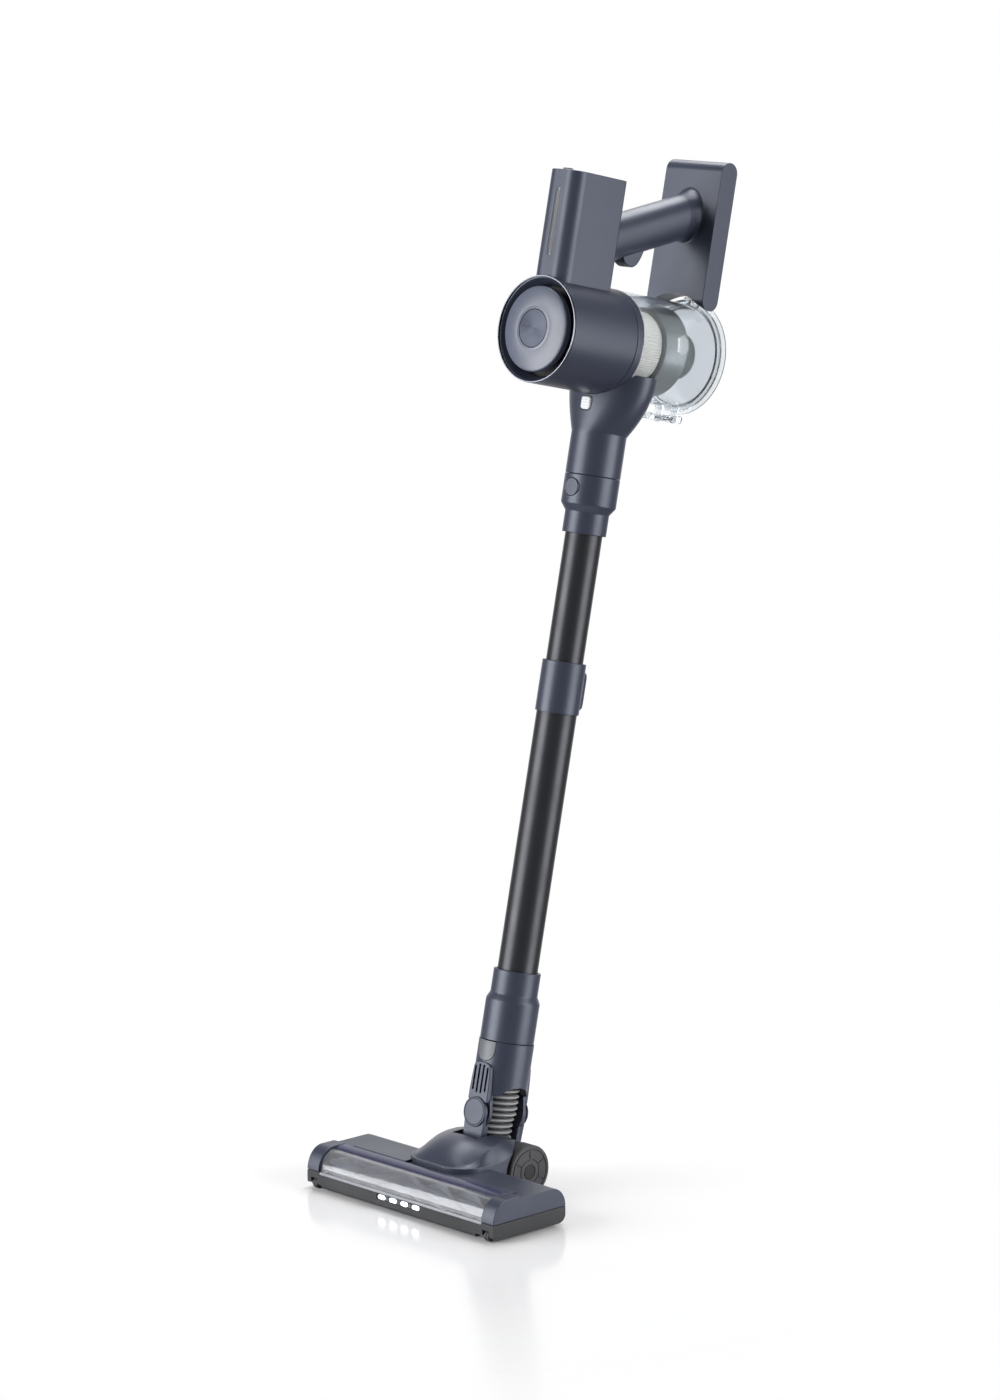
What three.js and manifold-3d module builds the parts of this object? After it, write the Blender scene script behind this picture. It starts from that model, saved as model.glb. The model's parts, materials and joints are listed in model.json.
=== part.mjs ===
import * as THREE from "three";
import { mergeVertices } from "three/addons/utils/BufferGeometryUtils.js";
import Module from "manifold-3d";

const wasm = await Module();
wasm.setup();

// Millimetres, +Z up. X runs along the floor head, -Y is the way the vacuum is pushed, and the
// origin is on the floor under the middle of the head.

// ---- fits and walls shared by the whole machine
const GAP = 0.3;
const WALL = 2.2;
const THIN_WALL = 1.6;

// ---- facets: sides of a full turn, and steps of each rounded corner
const ROUND = 30;
const MEDIUM = 22;
const SMALL = 16;
const PIN = 8;
const FINE_ARC = 5;
const ARC = 2;

// ---- stance
const LEAN = THREE.MathUtils.degToRad(12);
const WHEEL_RADIUS = 25;
const AXLE_Y = 78;
const PIVOT_RISE = 48.15;

// ---- floor head
const HEAD_WIDTH = 250;
const HEAD_FRONT = -45.5;
const HEAD_REAR = 45.5;
const SOLE_Z = 2;
const PARTING_Z = 17;
const HEAD_TOP = 38.5;
const FRONT_ARC = 18;
const REAR_ARC = 17;
const END_CAP_WIDTH = 16;
const BRUSH_RADIUS = 15;
const BRUSH_CORE_RADIUS = 8.5;
const BRUSH_Y = -25.5;
const BRUSH_Z = 18;
const BRUSH_FLIGHTS = 4;
const WINDOW_RECESS = 2.6;
const WINDOW_WALL = 1.6;
const WINDOW_REAR_Y = -12;
const RAIL_HEIGHT = 2;
const LED_BAR_WIDTH = 58;
const LED_Z = 12.3;
const LED_PITCH = 15.2;
const LED_COUNT = 4;
const ROLLER_RADIUS = 5;
const ROLLER_WIDTH = 6;
const ROLLER_X = HEAD_WIDTH / 2 - 10;
const BRUSH_MOTOR_RADIUS = 11;
const BRUSH_MOTOR_LENGTH = 62;
const BRUSH_MOTOR_Y = 10;
const MOTOR_PULLEY_RADIUS = 3.6;
const BRUSH_PULLEY_RADIUS = 8.6;
const BELT_WIDTH = 4.5;
const BELT_THICKNESS = 1.2;

// ---- joint between floor head and wand
const DOME_FRONT = -6;
const DOME_REAR = 99;
const DOME_HALF_WIDTH = 42;
const DOME_TOP = 60;
const SLOT_HALF_WIDTH = 16;
const SLOT_FRONT = 36;
const CHEEK_HALF_WIDTH = 26.4;
const WHEEL_WIDTH = 18;
const WHEEL_SIDE_GAP = 0.6;
const TRUNNION_RADIUS = 5;
const STUB_RADIUS = 4;
const YOKE_HALF_WIDTH = 13.5;
const YOKE_ARM_FACE = 27;
const HOSE_TOP = 30;

// ---- wand: distances along it are from the tilt pivot
const NECK_RADIUS = 26;
const NECK_BOTTOM = 18;
const NECK_TOP = 67;
const EAR_RADIUS = 15.5;
const EAR_INNER = 20;
const PIVOT_CAP_RADIUS = 14.1;
const PIVOT_CAP_FACE = 28.8;
const COLLAR_TOP = 133;
const COLLAR_SHOULDER = 107;
const COLLAR_RADIUS = 22;
const LOWER_TUBE_RADIUS = 19;
const UPPER_TUBE_RADIUS = 17.5;
const TUBE_WALL = 1.2;
const TELESCOPE_BOTTOM = 374.6;
const TELESCOPE_TOP = 422.2;
const TELESCOPE_RADIUS = 20.4;
const UPPER_TUBE_BOTTOM = 240;

// ---- main unit: the motor barrel lies across the top of the wand, axis front to back
const BARREL_RISE = 718.3;
const BARREL_RADIUS = 49.5;
const BARREL_UNDERSIDE = BARREL_RISE - BARREL_RADIUS;
const NECK_HEIGHT = 73.8;
const CONNECTOR_TOP = BARREL_UNDERSIDE - NECK_HEIGHT;
const CONNECTOR_RING = 29;
const CONNECTOR_STEP = CONNECTOR_TOP - CONNECTOR_RING;
const CONNECTOR_HEIGHT = 54;
const CONNECTOR_FOOT = CONNECTOR_TOP - CONNECTOR_HEIGHT;
const CONNECTOR_RADIUS = 25.6;
const BUTTON_RADIUS = 8.5;
const BUTTON_DROP = 12.4;
const BUTTON_RISE = CONNECTOR_TOP - BUTTON_DROP;
const INLET_SPREAD_HEIGHT = 34.8;
const INLET_PLAIN_TOP = BARREL_UNDERSIDE - INLET_SPREAD_HEIGHT;
const INLET_CHEEK = 22.5;
const INLET_TOP = BARREL_UNDERSIDE + INLET_CHEEK;
const INLET_TUCK = 1.5;
const INLET_HALF_WIDTH = BARREL_RADIUS - INLET_TUCK;
const INLET_FLARE = 3.4;
const INLET_OFFSET = 7.5;
const BARREL_FRONT = -101.7;
const BARREL_REAR = -10;
const COVER_RADIUS = 39.5;
const MOTOR_RADIUS = 30;
const MOTOR_LENGTH = 46;
const TOWER_HALF_WIDTH = 20;
const TOWER_FRONT = -99;
const TOWER_REAR = -32.5;
const TOWER_HEIGHT = 146.3;
const TOWER_TOP = BARREL_RISE + TOWER_HEIGHT;
const TOWER_CORNER = 13;
const VENT_WIDTH = 6.7;
const VENT_MARGIN = 17.2;
const VENT_LENGTH = 61.4;
const VENT_TOP = TOWER_TOP - VENT_MARGIN;
const VENT_BOTTOM = VENT_TOP - VENT_LENGTH;
const HANDLE_WIDTH = 36;
const HANDLE_HEIGHT = 41.3;
const HANDLE_SLOPE = THREE.MathUtils.degToRad(20.5);
const HANDLE_HEIGHT_ABOVE = 103.2;
const HANDLE_RISE = BARREL_RISE + HANDLE_HEIGHT_ABOVE;
const SLAB_HALF_WIDTH = 36.1;
const SLAB_FRONT = 71.6;
const SLAB_REAR = 93.2;
const SLAB_FOOT_ABOVE = 39.7;
const SLAB_HEIGHT = 142.8;
const SLAB_BOTTOM = BARREL_RISE + SLAB_FOOT_ABOVE;
const SLAB_TOP = SLAB_BOTTOM + SLAB_HEIGHT;
const FLARE_WIDTH = 42;
const FLARE_HEIGHT = 55;
const FLARE_LENGTH = 12;
const CELL_RADIUS = 9.1;

// ---- dust cup
const CUP_RADIUS = BARREL_RADIUS - GAP;
const CUP_REAR = 92;
const CUP_WALL = 1.8;
const LID_RIM = 5.4;
const LID_RADIUS = CUP_RADIUS + LID_RIM;
const ARCH_GAP = 2.4;
const SLAB_ARCH_RADIUS = LID_RADIUS + ARCH_GAP;
const LID_THICKNESS = 3.2;
const FILTER_RADIUS = 34;
const FILTER_REAR = 30;
const SHROUD_REAR = 56;
const SHROUD_RADIUS = 42;
const HUB_RADIUS = 22;
const LATCH_HALF_WIDTH = 8.5;

// ---- motor, covers and buttons of the main unit
const BARREL_CENTRE = [0, 0, BARREL_RISE];
const TRIM_DEPTH = 1.6;
const REAR_RING_DEPTH = 8.7;
const BARREL_SEAM = BARREL_REAR - REAR_RING_DEPTH;
const BARREL_BORE = BARREL_RADIUS - WALL;
const CAP_THICKNESS = 3.2;
const NECK_WALL = 2.4;
const MOTOR_REAR = -26;
const MOTOR_FRONT = MOTOR_REAR - MOTOR_LENGTH;
const SHAFT_RADIUS = 4;
const IMPELLER_RADIUS = 28;
const IMPELLER_BLADES = 9;
const COVER_FRONT = BARREL_FRONT - 0.3;
const COVER_CROWN = 4;
const COVER_REAR = -96;
const FILTER_DEPTH = 20;
const MODE_BUTTON_HEIGHT = 1.9;
const TRIGGER_HALF_WIDTH = 7.5;
const TRIGGER_PIN_RADIUS = 2;
const PACK_SIDE_MARGIN = 6.1;
const PACK_HALF_WIDTH = SLAB_HALF_WIDTH - PACK_SIDE_MARGIN;
const PACK_FOOT_MARGIN = 22;
const PACK_HEAD_MARGIN = 14.8;
const PACK_BOTTOM = SLAB_BOTTOM + PACK_FOOT_MARGIN;
const PACK_TOP = SLAB_TOP - PACK_HEAD_MARGIN;
const PACK_DEPTH = 17.5;
const RELEASE_WIDTH = 11.5;
const RELEASE_HEIGHT = 12;
const RELEASE_RISE = BARREL_UNDERSIDE - 8.3;
const RELEASE_FACE = -24.3;

// ---- trigger
const TRIGGER_FRONT = -13;
const TRIGGER_REAR = 18.5;
const TRIGGER_DROP = 13;
const TRIGGER_PIN_REACH = TRIGGER_HALF_WIDTH + 3.5;
const TRIGGER_PIVOT = [0, -9, handleAxisAt(-9) - HANDLE_HEIGHT / 2 + 6.15];

// ---- battery latch
const LATCH_RISE = PACK_TOP - 12;
const LATCH_WIDTH = 18;
const LATCH_TRAVEL = 1.5;

// ---- dust cup: front, hinge and lever
const CUP_FRONT = BARREL_REAR + GAP;
const CUP_BORE = CUP_RADIUS - CUP_WALL;
const HINGE_RADIUS = 3;
const HINGE_PIN_RADIUS = 1.4;
const HINGE_HALF_WIDTH = 5;
const LID_FRONT = CUP_REAR + GAP;
const LID_REAR = LID_FRONT + LID_THICKNESS;
const HINGE_Y = SLAB_REAR + GAP + HINGE_RADIUS + 1;
const HINGE_Z = BARREL_RISE + LID_RADIUS - 0.5;
const LEVER_TOP = BARREL_RISE - LID_RADIUS - 1.8;
const LEVER_THICKNESS = 6;
const LEVER_FRONT = 49;
const LEVER_PIVOT = [0, 84, LEVER_TOP - LEVER_THICKNESS / 2];
const LEVER_PIN_RADIUS = 1.8;
const EAR_WIDTH = 2.4;
const HOOK_DEPTH = 2.4;

// ---- lid plug and seal
const LID_PLUG = 3;
const SEAL_WIDTH = 1.8;

// ---- lower tube and guide bush
const LOWER_BORE = LOWER_TUBE_RADIUS - 1;
const GUIDE_LENGTH = 11;
const GUIDE_GAP = 0.2;

// ---- telescope lock
const LOCK_HALF_WIDTH = 9;
const LOCK_FACE = 25.8;
const LOCK_TRAVEL = 2.5;

// ---- head neck
const NECK_TUBE_BORE = 16.5;
const NECK_BORE = NECK_RADIUS - WALL - 0.4;
const NECK_BUTTON_WIDTH = 20;
const NECK_BUTTON_BOTTOM = 48;
const NECK_BUTTON_TOP = 62;
const GROOVE_COUNT = 4;
const GROOVE_PITCH = 5.2;
const GROOVE_WIDTH = 2.4;
const GROOVE_DEPTH = 1.2;
const GROOVE_BOTTOM = NECK_BOTTOM - 1;
const GROOVE_LENGTH = 27;

// ---- tilt pins
const TILT_PIN_RADIUS = 5;
const EAR_STEP = 23.3;
const EAR_OUTER = 27;
const EAR_TOP = NECK_BOTTOM + 25;
const EAR_PLATE_BOTTOM = 10;
const EAR_PLATE_FOOT = 12.5;
const EAR_PLATE_HEAD = 10.6;
const NECK_ARCH_REACH = 16.5;
const NECK_ARCH_RISE = 9;

// ---- yoke and hose
const YOKE_ARM_INNER = 19.9;
const YOKE_EYE_INNER = EAR_STEP + GAP;
const YOKE_TOP_RADIUS = 13.5;
const YOKE_BASE_HALF_WIDTH = 15.2;
const AXLE_BACK = 10;
const AXLE_DROP = 46.9;
const AXLE_IN_WAND = [0, AXLE_BACK, -AXLE_DROP];
const YOKE_BASE_BOTTOM = -48;
const YOKE_BASE_TOP = -38;
const HOSE_BORE = 12;
const HOSE_WALL = 2.6;
const HOSE_RADIUS = YOKE_ARM_INNER - 2 * GAP;
const HOSE_FOOT_RADIUS = YOKE_BASE_HALF_WIDTH;
const HOSE_WAIST_BOTTOM = -8;
const HOSE_WAIST_TOP = 2;

// ---- axle arms
const ARM_INNER_FACE = SLOT_HALF_WIDTH + 0.4;
const TRUNNION_END = ARM_INNER_FACE + 3.6 - GAP;

// ---- floor head: seats and drive
const AXLE = [0, AXLE_Y, WHEEL_RADIUS];
const FRONT_ARC_Y = HEAD_FRONT + FRONT_ARC;
const REAR_ARC_Y = HEAD_REAR - REAR_ARC;
const ARC_RISE = HEAD_TOP - PARTING_Z;
const HALF_HEAD = HEAD_WIDTH / 2;
const WINDOW_HALF_WIDTH = HALF_HEAD - END_CAP_WIDTH - GAP;
const FLOOR_TOP = SOLE_Z + WALL;
const PARTITION_Y = WINDOW_REAR_Y + 2.5;
const SWEEP_RADIUS = 39;
const ARM_RADIUS = 13;
const ARM_TOP = 9;
const MOTOR_Z = FLOOR_TOP + GAP + BRUSH_MOTOR_RADIUS;
const BELT_X = 20.5 - HALF_HEAD;
const BEARING_X = HALF_HEAD - 15.5;
const BEARING_WIDTH = 2;
const BRUSH_PIN_RADIUS = 2.5;
const ROLLER_Y = HEAD_FRONT + ROLLER_RADIUS + 0.5;
const ROLLER_PIN_RADIUS = 1.2;
const ROLLER_PIN_REACH = 1.8;
const ARM_SEAT_END = TRUNNION_END + GAP;
const BRUSH_CENTRE = [0, BRUSH_Y, BRUSH_Z];

// ---- helpers: shapes

// A closed solid made from any closed three.js geometry.
function solid(geometry) {
  const bare = geometry.clone();
  bare.deleteAttribute("normal");
  bare.deleteAttribute("uv");
  const merged = mergeVertices(bare, 1e-4);
  const points = merged.attributes.position;
  const corners = merged.index.array;
  const faces = [];
  let volume = 0;
  for (let i = 0; i < corners.length; i += 3) {
    const [a, b, c] = [corners[i], corners[i + 1], corners[i + 2]];
    if (a === b || b === c || c === a) continue;
    faces.push([a, b, c]);
    const [p, q, r] = [a, b, c].map((k) => new THREE.Vector3().fromBufferAttribute(points, k));
    volume += p.dot(q.cross(r));
  }
  const triangles = volume < 0 ? faces.map(([a, b, c]) => [a, c, b]) : faces;
  const mesh = new wasm.Mesh({
    numProp: 3,
    vertProperties: new Float32Array(points.array),
    triVerts: new Uint32Array(triangles.flat()),
  });
  return new wasm.Manifold(mesh);
}

function geometryOf(manifold) {
  const mesh = manifold.getMesh();
  const geometry = new THREE.BufferGeometry();
  geometry.setAttribute("position", new THREE.BufferAttribute(mesh.vertProperties, 3));
  geometry.setIndex(new THREE.BufferAttribute(mesh.triVerts, 1));
  geometry.computeVertexNormals();
  return geometry;
}

// A flat shape pushed along an axis. Its plane is (x, y) for z, (y, z) for x and (x, z) for y.
function prism(shape, axis, from, to, curveSegments = FINE_ARC) {
  const depth = to - from;
  const geometry = new THREE.ExtrudeGeometry(shape, { depth, bevelEnabled: false, curveSegments });
  if (axis === "z") geometry.translate(0, 0, from);
  if (axis === "x") geometry.rotateX(Math.PI / 2).rotateZ(Math.PI / 2).translate(from, 0, 0);
  if (axis === "y") geometry.rotateX(Math.PI / 2).translate(0, to, 0);
  return solid(geometry);
}

// A profile of [radius, distance] pairs turned about an axis through the centre.
function turned(profile, axis, centre = [0, 0, 0], segments = SMALL) {
  const points = profile.map(([radius, along]) => new THREE.Vector2(radius, along));
  const geometry = new THREE.LatheGeometry(points, segments);
  if (axis === "z") geometry.rotateX(Math.PI / 2);
  if (axis === "x") geometry.rotateZ(-Math.PI / 2);
  geometry.translate(...centre);
  return solid(geometry);
}

function rod(radius, axis, from, to, centre = [0, 0, 0], segments = SMALL) {
  return turned([[0, from], [radius, from], [radius, to], [0, to]], axis, centre, segments);
}

function pipe(outer, inner, axis, from, to, centre = [0, 0, 0], segments = SMALL) {
  const profile = [[inner, from], [outer, from], [outer, to], [inner, to], [inner, from]];
  return turned(profile, axis, centre, segments);
}

function box(x0, x1, y0, y1, z0, z1) {
  const geometry = new THREE.BoxGeometry(x1 - x0, y1 - y0, z1 - z0);
  return solid(geometry.translate((x0 + x1) / 2, (y0 + y1) / 2, (z0 + z1) / 2));
}

function outline(...points) {
  return new THREE.Shape(points.map(([a, b]) => new THREE.Vector2(a, b)));
}

// A rectangle with rounded corners, centred on (a, b).
function roundedRectangle(width, height, radius, a = 0, b = 0) {
  const [w, h] = [width / 2, height / 2];
  const r = Math.min(radius, w - 0.01, h - 0.01);
  const shape = new THREE.Shape();
  shape.absarc(a + w - r, b + h - r, r, 0, Math.PI / 2);
  shape.absarc(a - w + r, b + h - r, r, Math.PI / 2, Math.PI);
  shape.absarc(a - w + r, b - h + r, r, Math.PI, 1.5 * Math.PI);
  shape.absarc(a + w - r, b - h + r, r, 1.5 * Math.PI, 2 * Math.PI);
  return shape;
}

function ellipse(a, b, radiusA, radiusB) {
  const shape = new THREE.Shape();
  shape.absellipse(a, b, radiusA, radiusB, 0, 2 * Math.PI);
  return shape;
}

// A skin through rings of points, all with as many points, closed by a flat face at each end.
function loft(rings) {
  const count = rings[0].length;
  const positions = rings.flat(2);
  const index = [];
  for (let ring = 0; ring + 1 < rings.length; ring++) {
    for (let i = 0; i < count; i++) {
      const a = ring * count + i;
      const b = ring * count + ((i + 1) % count);
      index.push(a, b, b + count, a, b + count, a + count);
    }
  }
  const last = (rings.length - 1) * count;
  for (let i = 1; i + 1 < count; i++) {
    index.push(0, i + 1, i);
    index.push(last, last + i, last + i + 1);
  }
  const geometry = new THREE.BufferGeometry();
  geometry.setAttribute("position", new THREE.Float32BufferAttribute(positions, 3));
  geometry.setIndex(index);
  return solid(geometry);
}

function ellipseRing(centreX, centreY, z, radiusX, radiusY, count = MEDIUM) {
  const ring = [];
  for (let i = 0; i < count; i++) {
    const angle = (2 * Math.PI * i) / count;
    ring.push([centreX + radiusX * Math.cos(angle), centreY + radiusY * Math.sin(angle), z]);
  }
  return ring;
}

function joined(...solids) {
  return solids.reduce((sum, next) => sum.add(next));
}

function cut(body, ...tools) {
  return tools.reduce((rest, tool) => rest.subtract(tool), body);
}

// ---- helpers: materials and nodes

function look(color, roughness, metalness = 0, opacity = 1) {
  return new THREE.MeshStandardMaterial({
    color,
    roughness,
    metalness,
    opacity,
    transparent: opacity < 1,
  });
}

const looks = {
  shell: () => look(0x484c5a, 0.45, 0.1),
  frame: () => look(0x3e3f42, 0.6),
  tube: () => look(0x24262c, 0.35, 0.7),
  button: () => look(0x6e7070, 0.55),
  release: () => look(0xaaafb2, 0.45),
  silver: () => look(0xb4b8bc, 0.3, 0.9),
  dark: () => look(0x1c1d1f, 0.7),
  clear: () => look(0xdfe4ea, 0.08, 0, 0.3),
  shroud: () => look(0x878c8c, 0.4, 0.6),
  hub: () => look(0x69706f, 0.5),
  filter: () => look(0xe1ded7, 0.9),
  hose: () => look(0xb9b8b2, 0.7),
  wheel: () => look(0x505050, 0.8),
  brush: () => look(0x5b4a6b, 0.9),
  rubber: () => look(0x151515, 0.85),
  copper: () => look(0xb06a3a, 0.4, 0.8),
  steel: () => look(0x9a9ca0, 0.3, 0.9),
  board: () => look(0x1f5a3a, 0.6),
  cell: () => look(0x3c7ab8, 0.5),
  light: () => look(0xf2f4f6, 0.2),
};

function part(group, name, manifold, material) {
  const mesh = new THREE.Mesh(geometryOf(manifold), material);
  mesh.name = name;
  group.add(mesh);
}

// ---- main unit, in the wand's frame: x across, y backwards, z along the wand from the pivot

function barrelShell() {
  const front = BARREL_FRONT + TRIM_DEPTH + GAP;
  return pipe(BARREL_RADIUS, BARREL_BORE, "y", front, BARREL_SEAM, BARREL_CENTRE, ROUND);
}

function trimRing() {
  const [front, rear] = [BARREL_FRONT, BARREL_FRONT + TRIM_DEPTH];
  return pipe(BARREL_RADIUS, BARREL_BORE, "y", front, rear, BARREL_CENTRE, ROUND);
}

function rearRing() {
  const [front, rear] = [BARREL_SEAM + GAP, BARREL_REAR - GAP];
  return pipe(BARREL_RADIUS, FILTER_RADIUS - 4, "y", front, rear, BARREL_CENTRE, ROUND);
}

// A round lid with a shallow crown, and a step behind its edge for the air to leave by.
function exhaustCover() {
  const profile = [[0, COVER_FRONT - COVER_CROWN]];
  for (const share of [0.45, 0.75, 0.95]) {
    profile.push([COVER_RADIUS * share, COVER_FRONT - COVER_CROWN * (1 - share ** 3)]);
  }
  profile.push([COVER_RADIUS, COVER_FRONT], [COVER_RADIUS, COVER_FRONT + WALL]);
  profile.push([COVER_RADIUS - 4, COVER_REAR], [0, COVER_REAR]);
  return turned(profile, "y", BARREL_CENTRE, MEDIUM);
}

function exhaustFilter() {
  const front = COVER_REAR + GAP;
  return pipe(BARREL_BORE - GAP, BARREL_BORE / 2, "y", front, front + FILTER_DEPTH, BARREL_CENTRE, MEDIUM);
}

function motorMount() {
  const bore = MOTOR_RADIUS + GAP;
  const rim = BARREL_BORE - GAP;
  const profile = [
    [bore, MOTOR_FRONT + 8],
    [bore + WALL, MOTOR_FRONT + 8],
    [bore + WALL, MOTOR_REAR - 12],
    [rim, MOTOR_REAR - 12],
    [rim, MOTOR_REAR - 8],
    [bore, MOTOR_REAR - 8],
    [bore, MOTOR_FRONT + 8],
  ];
  return turned(profile, "y", BARREL_CENTRE, MEDIUM);
}

function suctionMotor() {
  const bore = SHAFT_RADIUS + GAP;
  return pipe(MOTOR_RADIUS, bore, "y", MOTOR_FRONT, MOTOR_REAR, BARREL_CENTRE, MEDIUM);
}

// A bladed disc on a shaft that runs through the motor.
function impeller() {
  const front = MOTOR_REAR + GAP;
  const rear = BARREL_REAR - WALL;
  const disc = rod(IMPELLER_RADIUS, "y", front, front + THIN_WALL, BARREL_CENTRE, MEDIUM);
  const shaft = rod(SHAFT_RADIUS, "y", MOTOR_FRONT + 6, rear, BARREL_CENTRE, PIN);
  const blades = [];
  for (let blade = 0; blade < IMPELLER_BLADES; blade++) {
    const length = IMPELLER_RADIUS - SHAFT_RADIUS;
    const geometry = new THREE.BoxGeometry(length, rear - front - GAP, THIN_WALL);
    geometry.translate(SHAFT_RADIUS + length / 2 - 0.5, (front + rear) / 2, 0);
    geometry.rotateY((2 * Math.PI * blade) / IMPELLER_BLADES).translate(...BARREL_CENTRE);
    blades.push(solid(geometry));
  }
  return joined(disc, shaft, ...blades);
}

// The tower's plan: wide round corners in front, small ones behind.
function towerPlan(inset) {
  const half = TOWER_HALF_WIDTH - inset;
  const [front, rear] = [TOWER_FRONT + inset, TOWER_REAR - inset];
  const [wide, small] = [TOWER_CORNER - inset, 3 - inset / 2];
  const shape = new THREE.Shape();
  shape.absarc(half - small, rear - small, small, 0, Math.PI / 2);
  shape.absarc(small - half, rear - small, small, Math.PI / 2, Math.PI);
  shape.absarc(wide - half, front + wide, wide, Math.PI, 1.5 * Math.PI);
  shape.absarc(half - wide, front + wide, wide, 1.5 * Math.PI, 2 * Math.PI);
  return shape;
}

function ventOutline(inset) {
  const height = VENT_TOP - VENT_BOTTOM - 2 * inset;
  const middle = (VENT_TOP + VENT_BOTTOM) / 2;
  return roundedRectangle(VENT_WIDTH - 2 * inset, height, VENT_WIDTH / 2 - inset, 0, middle);
}

function towerShell() {
  const top = TOWER_TOP - CAP_THICKNESS - GAP;
  const block = prism(towerPlan(0), "z", BARREL_RISE, top, ARC);
  const hollow = prism(towerPlan(WALL), "z", BARREL_RISE - 1, top + 1, ARC);
  const seat = rod(BARREL_RADIUS + GAP, "y", -150, 50, BARREL_CENTRE, ROUND);
  const vent = prism(ventOutline(0), "y", TOWER_FRONT - 1, TOWER_FRONT + WALL + 1, ARC);
  const wireHole = [0, 0, handleAxisAt(TOWER_REAR)];
  const wires = rod(HANDLE_WIDTH / 4, "y", TOWER_REAR - WALL - 1, TOWER_REAR + 1, wireHole, PIN);
  return cut(block, hollow, seat, vent, wires);
}

function towerCap() {
  const bottom = TOWER_TOP - CAP_THICKNESS;
  const plate = prism(towerPlan(0), "z", bottom, TOWER_TOP, ARC);
  const hole = modeButtonOutline(GAP);
  return cut(plate, prism(hole, "z", bottom - 1, TOWER_TOP + 1, ARC));
}

function modeButtonOutline(grow) {
  return roundedRectangle(9 + 2 * grow, 6 + 2 * grow, 2 + grow, 0, TOWER_FRONT + 8);
}

function modeButton() {
  const foot = TOWER_TOP - CAP_THICKNESS - 3;
  return prism(modeButtonOutline(0), "z", foot, TOWER_TOP + MODE_BUTTON_HEIGHT, ARC);
}

// A thin plate set in the slot, with two staggered columns of holes.
function ventGrille() {
  const [front, rear] = [TOWER_FRONT + 0.6, TOWER_FRONT + 0.6 + THIN_WALL];
  const plate = prism(ventOutline(GAP), "y", front, rear, ARC);
  const holes = [];
  const pitch = 4.4;
  for (let z = VENT_BOTTOM + pitch; z < VENT_TOP - pitch / 2; z += pitch) {
    const side = holes.length % 2 ? 1 : -1;
    holes.push(rod(0.9, "y", front - 1, rear + 1, [side * 1.4, 0, z], PIN));
  }
  return cut(plate, ...holes);
}

function controlBoard() {
  const outer = TOWER_HALF_WIDTH - WALL - GAP;
  return box(outer - THIN_WALL, outer, TOWER_FRONT + 20, TOWER_REAR - 8, VENT_BOTTOM, VENT_TOP);
}

// ---- handle and battery

function handleAxisAt(y) {
  return HANDLE_RISE + Math.tan(HANDLE_SLOPE) * y;
}

// An oval bar along the handle's sloping axis.
function handleBar(inset) {
  const length = 3 * SLAB_FRONT;
  const shape = ellipse(0, 0, HANDLE_WIDTH / 2 - inset, HANDLE_HEIGHT / 2 - inset);
  const settings = { depth: length, bevelEnabled: false, curveSegments: SMALL };
  const geometry = new THREE.ExtrudeGeometry(shape, settings).translate(0, 0, -length / 2);
  return solid(geometry.rotateX(HANDLE_SLOPE - Math.PI / 2).translate(0, 0, HANDLE_RISE));
}

function handleGrip() {
  const [front, rear] = [TOWER_REAR + GAP, SLAB_FRONT - FLARE_LENGTH - GAP];
  const span = box(-50, 50, front, rear, HANDLE_RISE - 90, HANDLE_RISE + 90);
  const slotTop = handleAxisAt(0) - HANDLE_HEIGHT / 4;
  const half = TRIGGER_HALF_WIDTH + GAP;
  const slot = box(-half, half, TRIGGER_FRONT - 1.5, TRIGGER_REAR + 2.5, slotTop - 60, slotTop);
  const seat = TRIGGER_PIN_REACH + GAP;
  const pinHole = rod(TRIGGER_PIN_RADIUS + GAP, "x", -seat, seat, TRIGGER_PIVOT, PIN);
  return cut(handleBar(0).intersect(span), handleBar(WALL), slot, pinHole);
}

// A finger-shaped lobe hanging from its pin at the front.
function trigger() {
  const root = (y) => handleAxisAt(y) - HANDLE_HEIGHT / 2 + 4;
  const low = handleAxisAt(4) - HANDLE_HEIGHT / 2 - TRIGGER_DROP;
  const shape = new THREE.Shape();
  shape.moveTo(TRIGGER_FRONT, root(TRIGGER_FRONT));
  shape.bezierCurveTo(TRIGGER_FRONT + 1, low + 5, -4, low, 4, low);
  shape.bezierCurveTo(12, low, 15, low + 8, TRIGGER_REAR, root(TRIGGER_REAR));
  const lobe = prism(shape, "x", -TRIGGER_HALF_WIDTH, TRIGGER_HALF_WIDTH, FINE_ARC);
  const pin = rod(TRIGGER_PIN_RADIUS, "x", -TRIGGER_PIN_REACH, TRIGGER_PIN_REACH, TRIGGER_PIVOT, PIN);
  const boss = rod(TRIGGER_PIN_RADIUS + 2, "x", -TRIGGER_HALF_WIDTH, TRIGGER_HALF_WIDTH, TRIGGER_PIVOT, PIN);
  return joined(lobe, pin, boss);
}

function slabProfile() {
  const [depth, height] = [SLAB_REAR - SLAB_FRONT, SLAB_TOP - SLAB_BOTTOM];
  const [y, z] = [(SLAB_REAR + SLAB_FRONT) / 2, (SLAB_TOP + SLAB_BOTTOM) / 2];
  return roundedRectangle(depth, height, depth / 2, y, z);
}

function handleRing(y, halfWidth, halfHeight, count = SMALL) {
  const ring = [];
  for (let i = 0; i < count; i++) {
    const angle = (2 * Math.PI * i) / count;
    ring.push([halfWidth * Math.cos(angle), y, handleAxisAt(y) + halfHeight * Math.sin(angle)]);
  }
  return ring;
}

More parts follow.
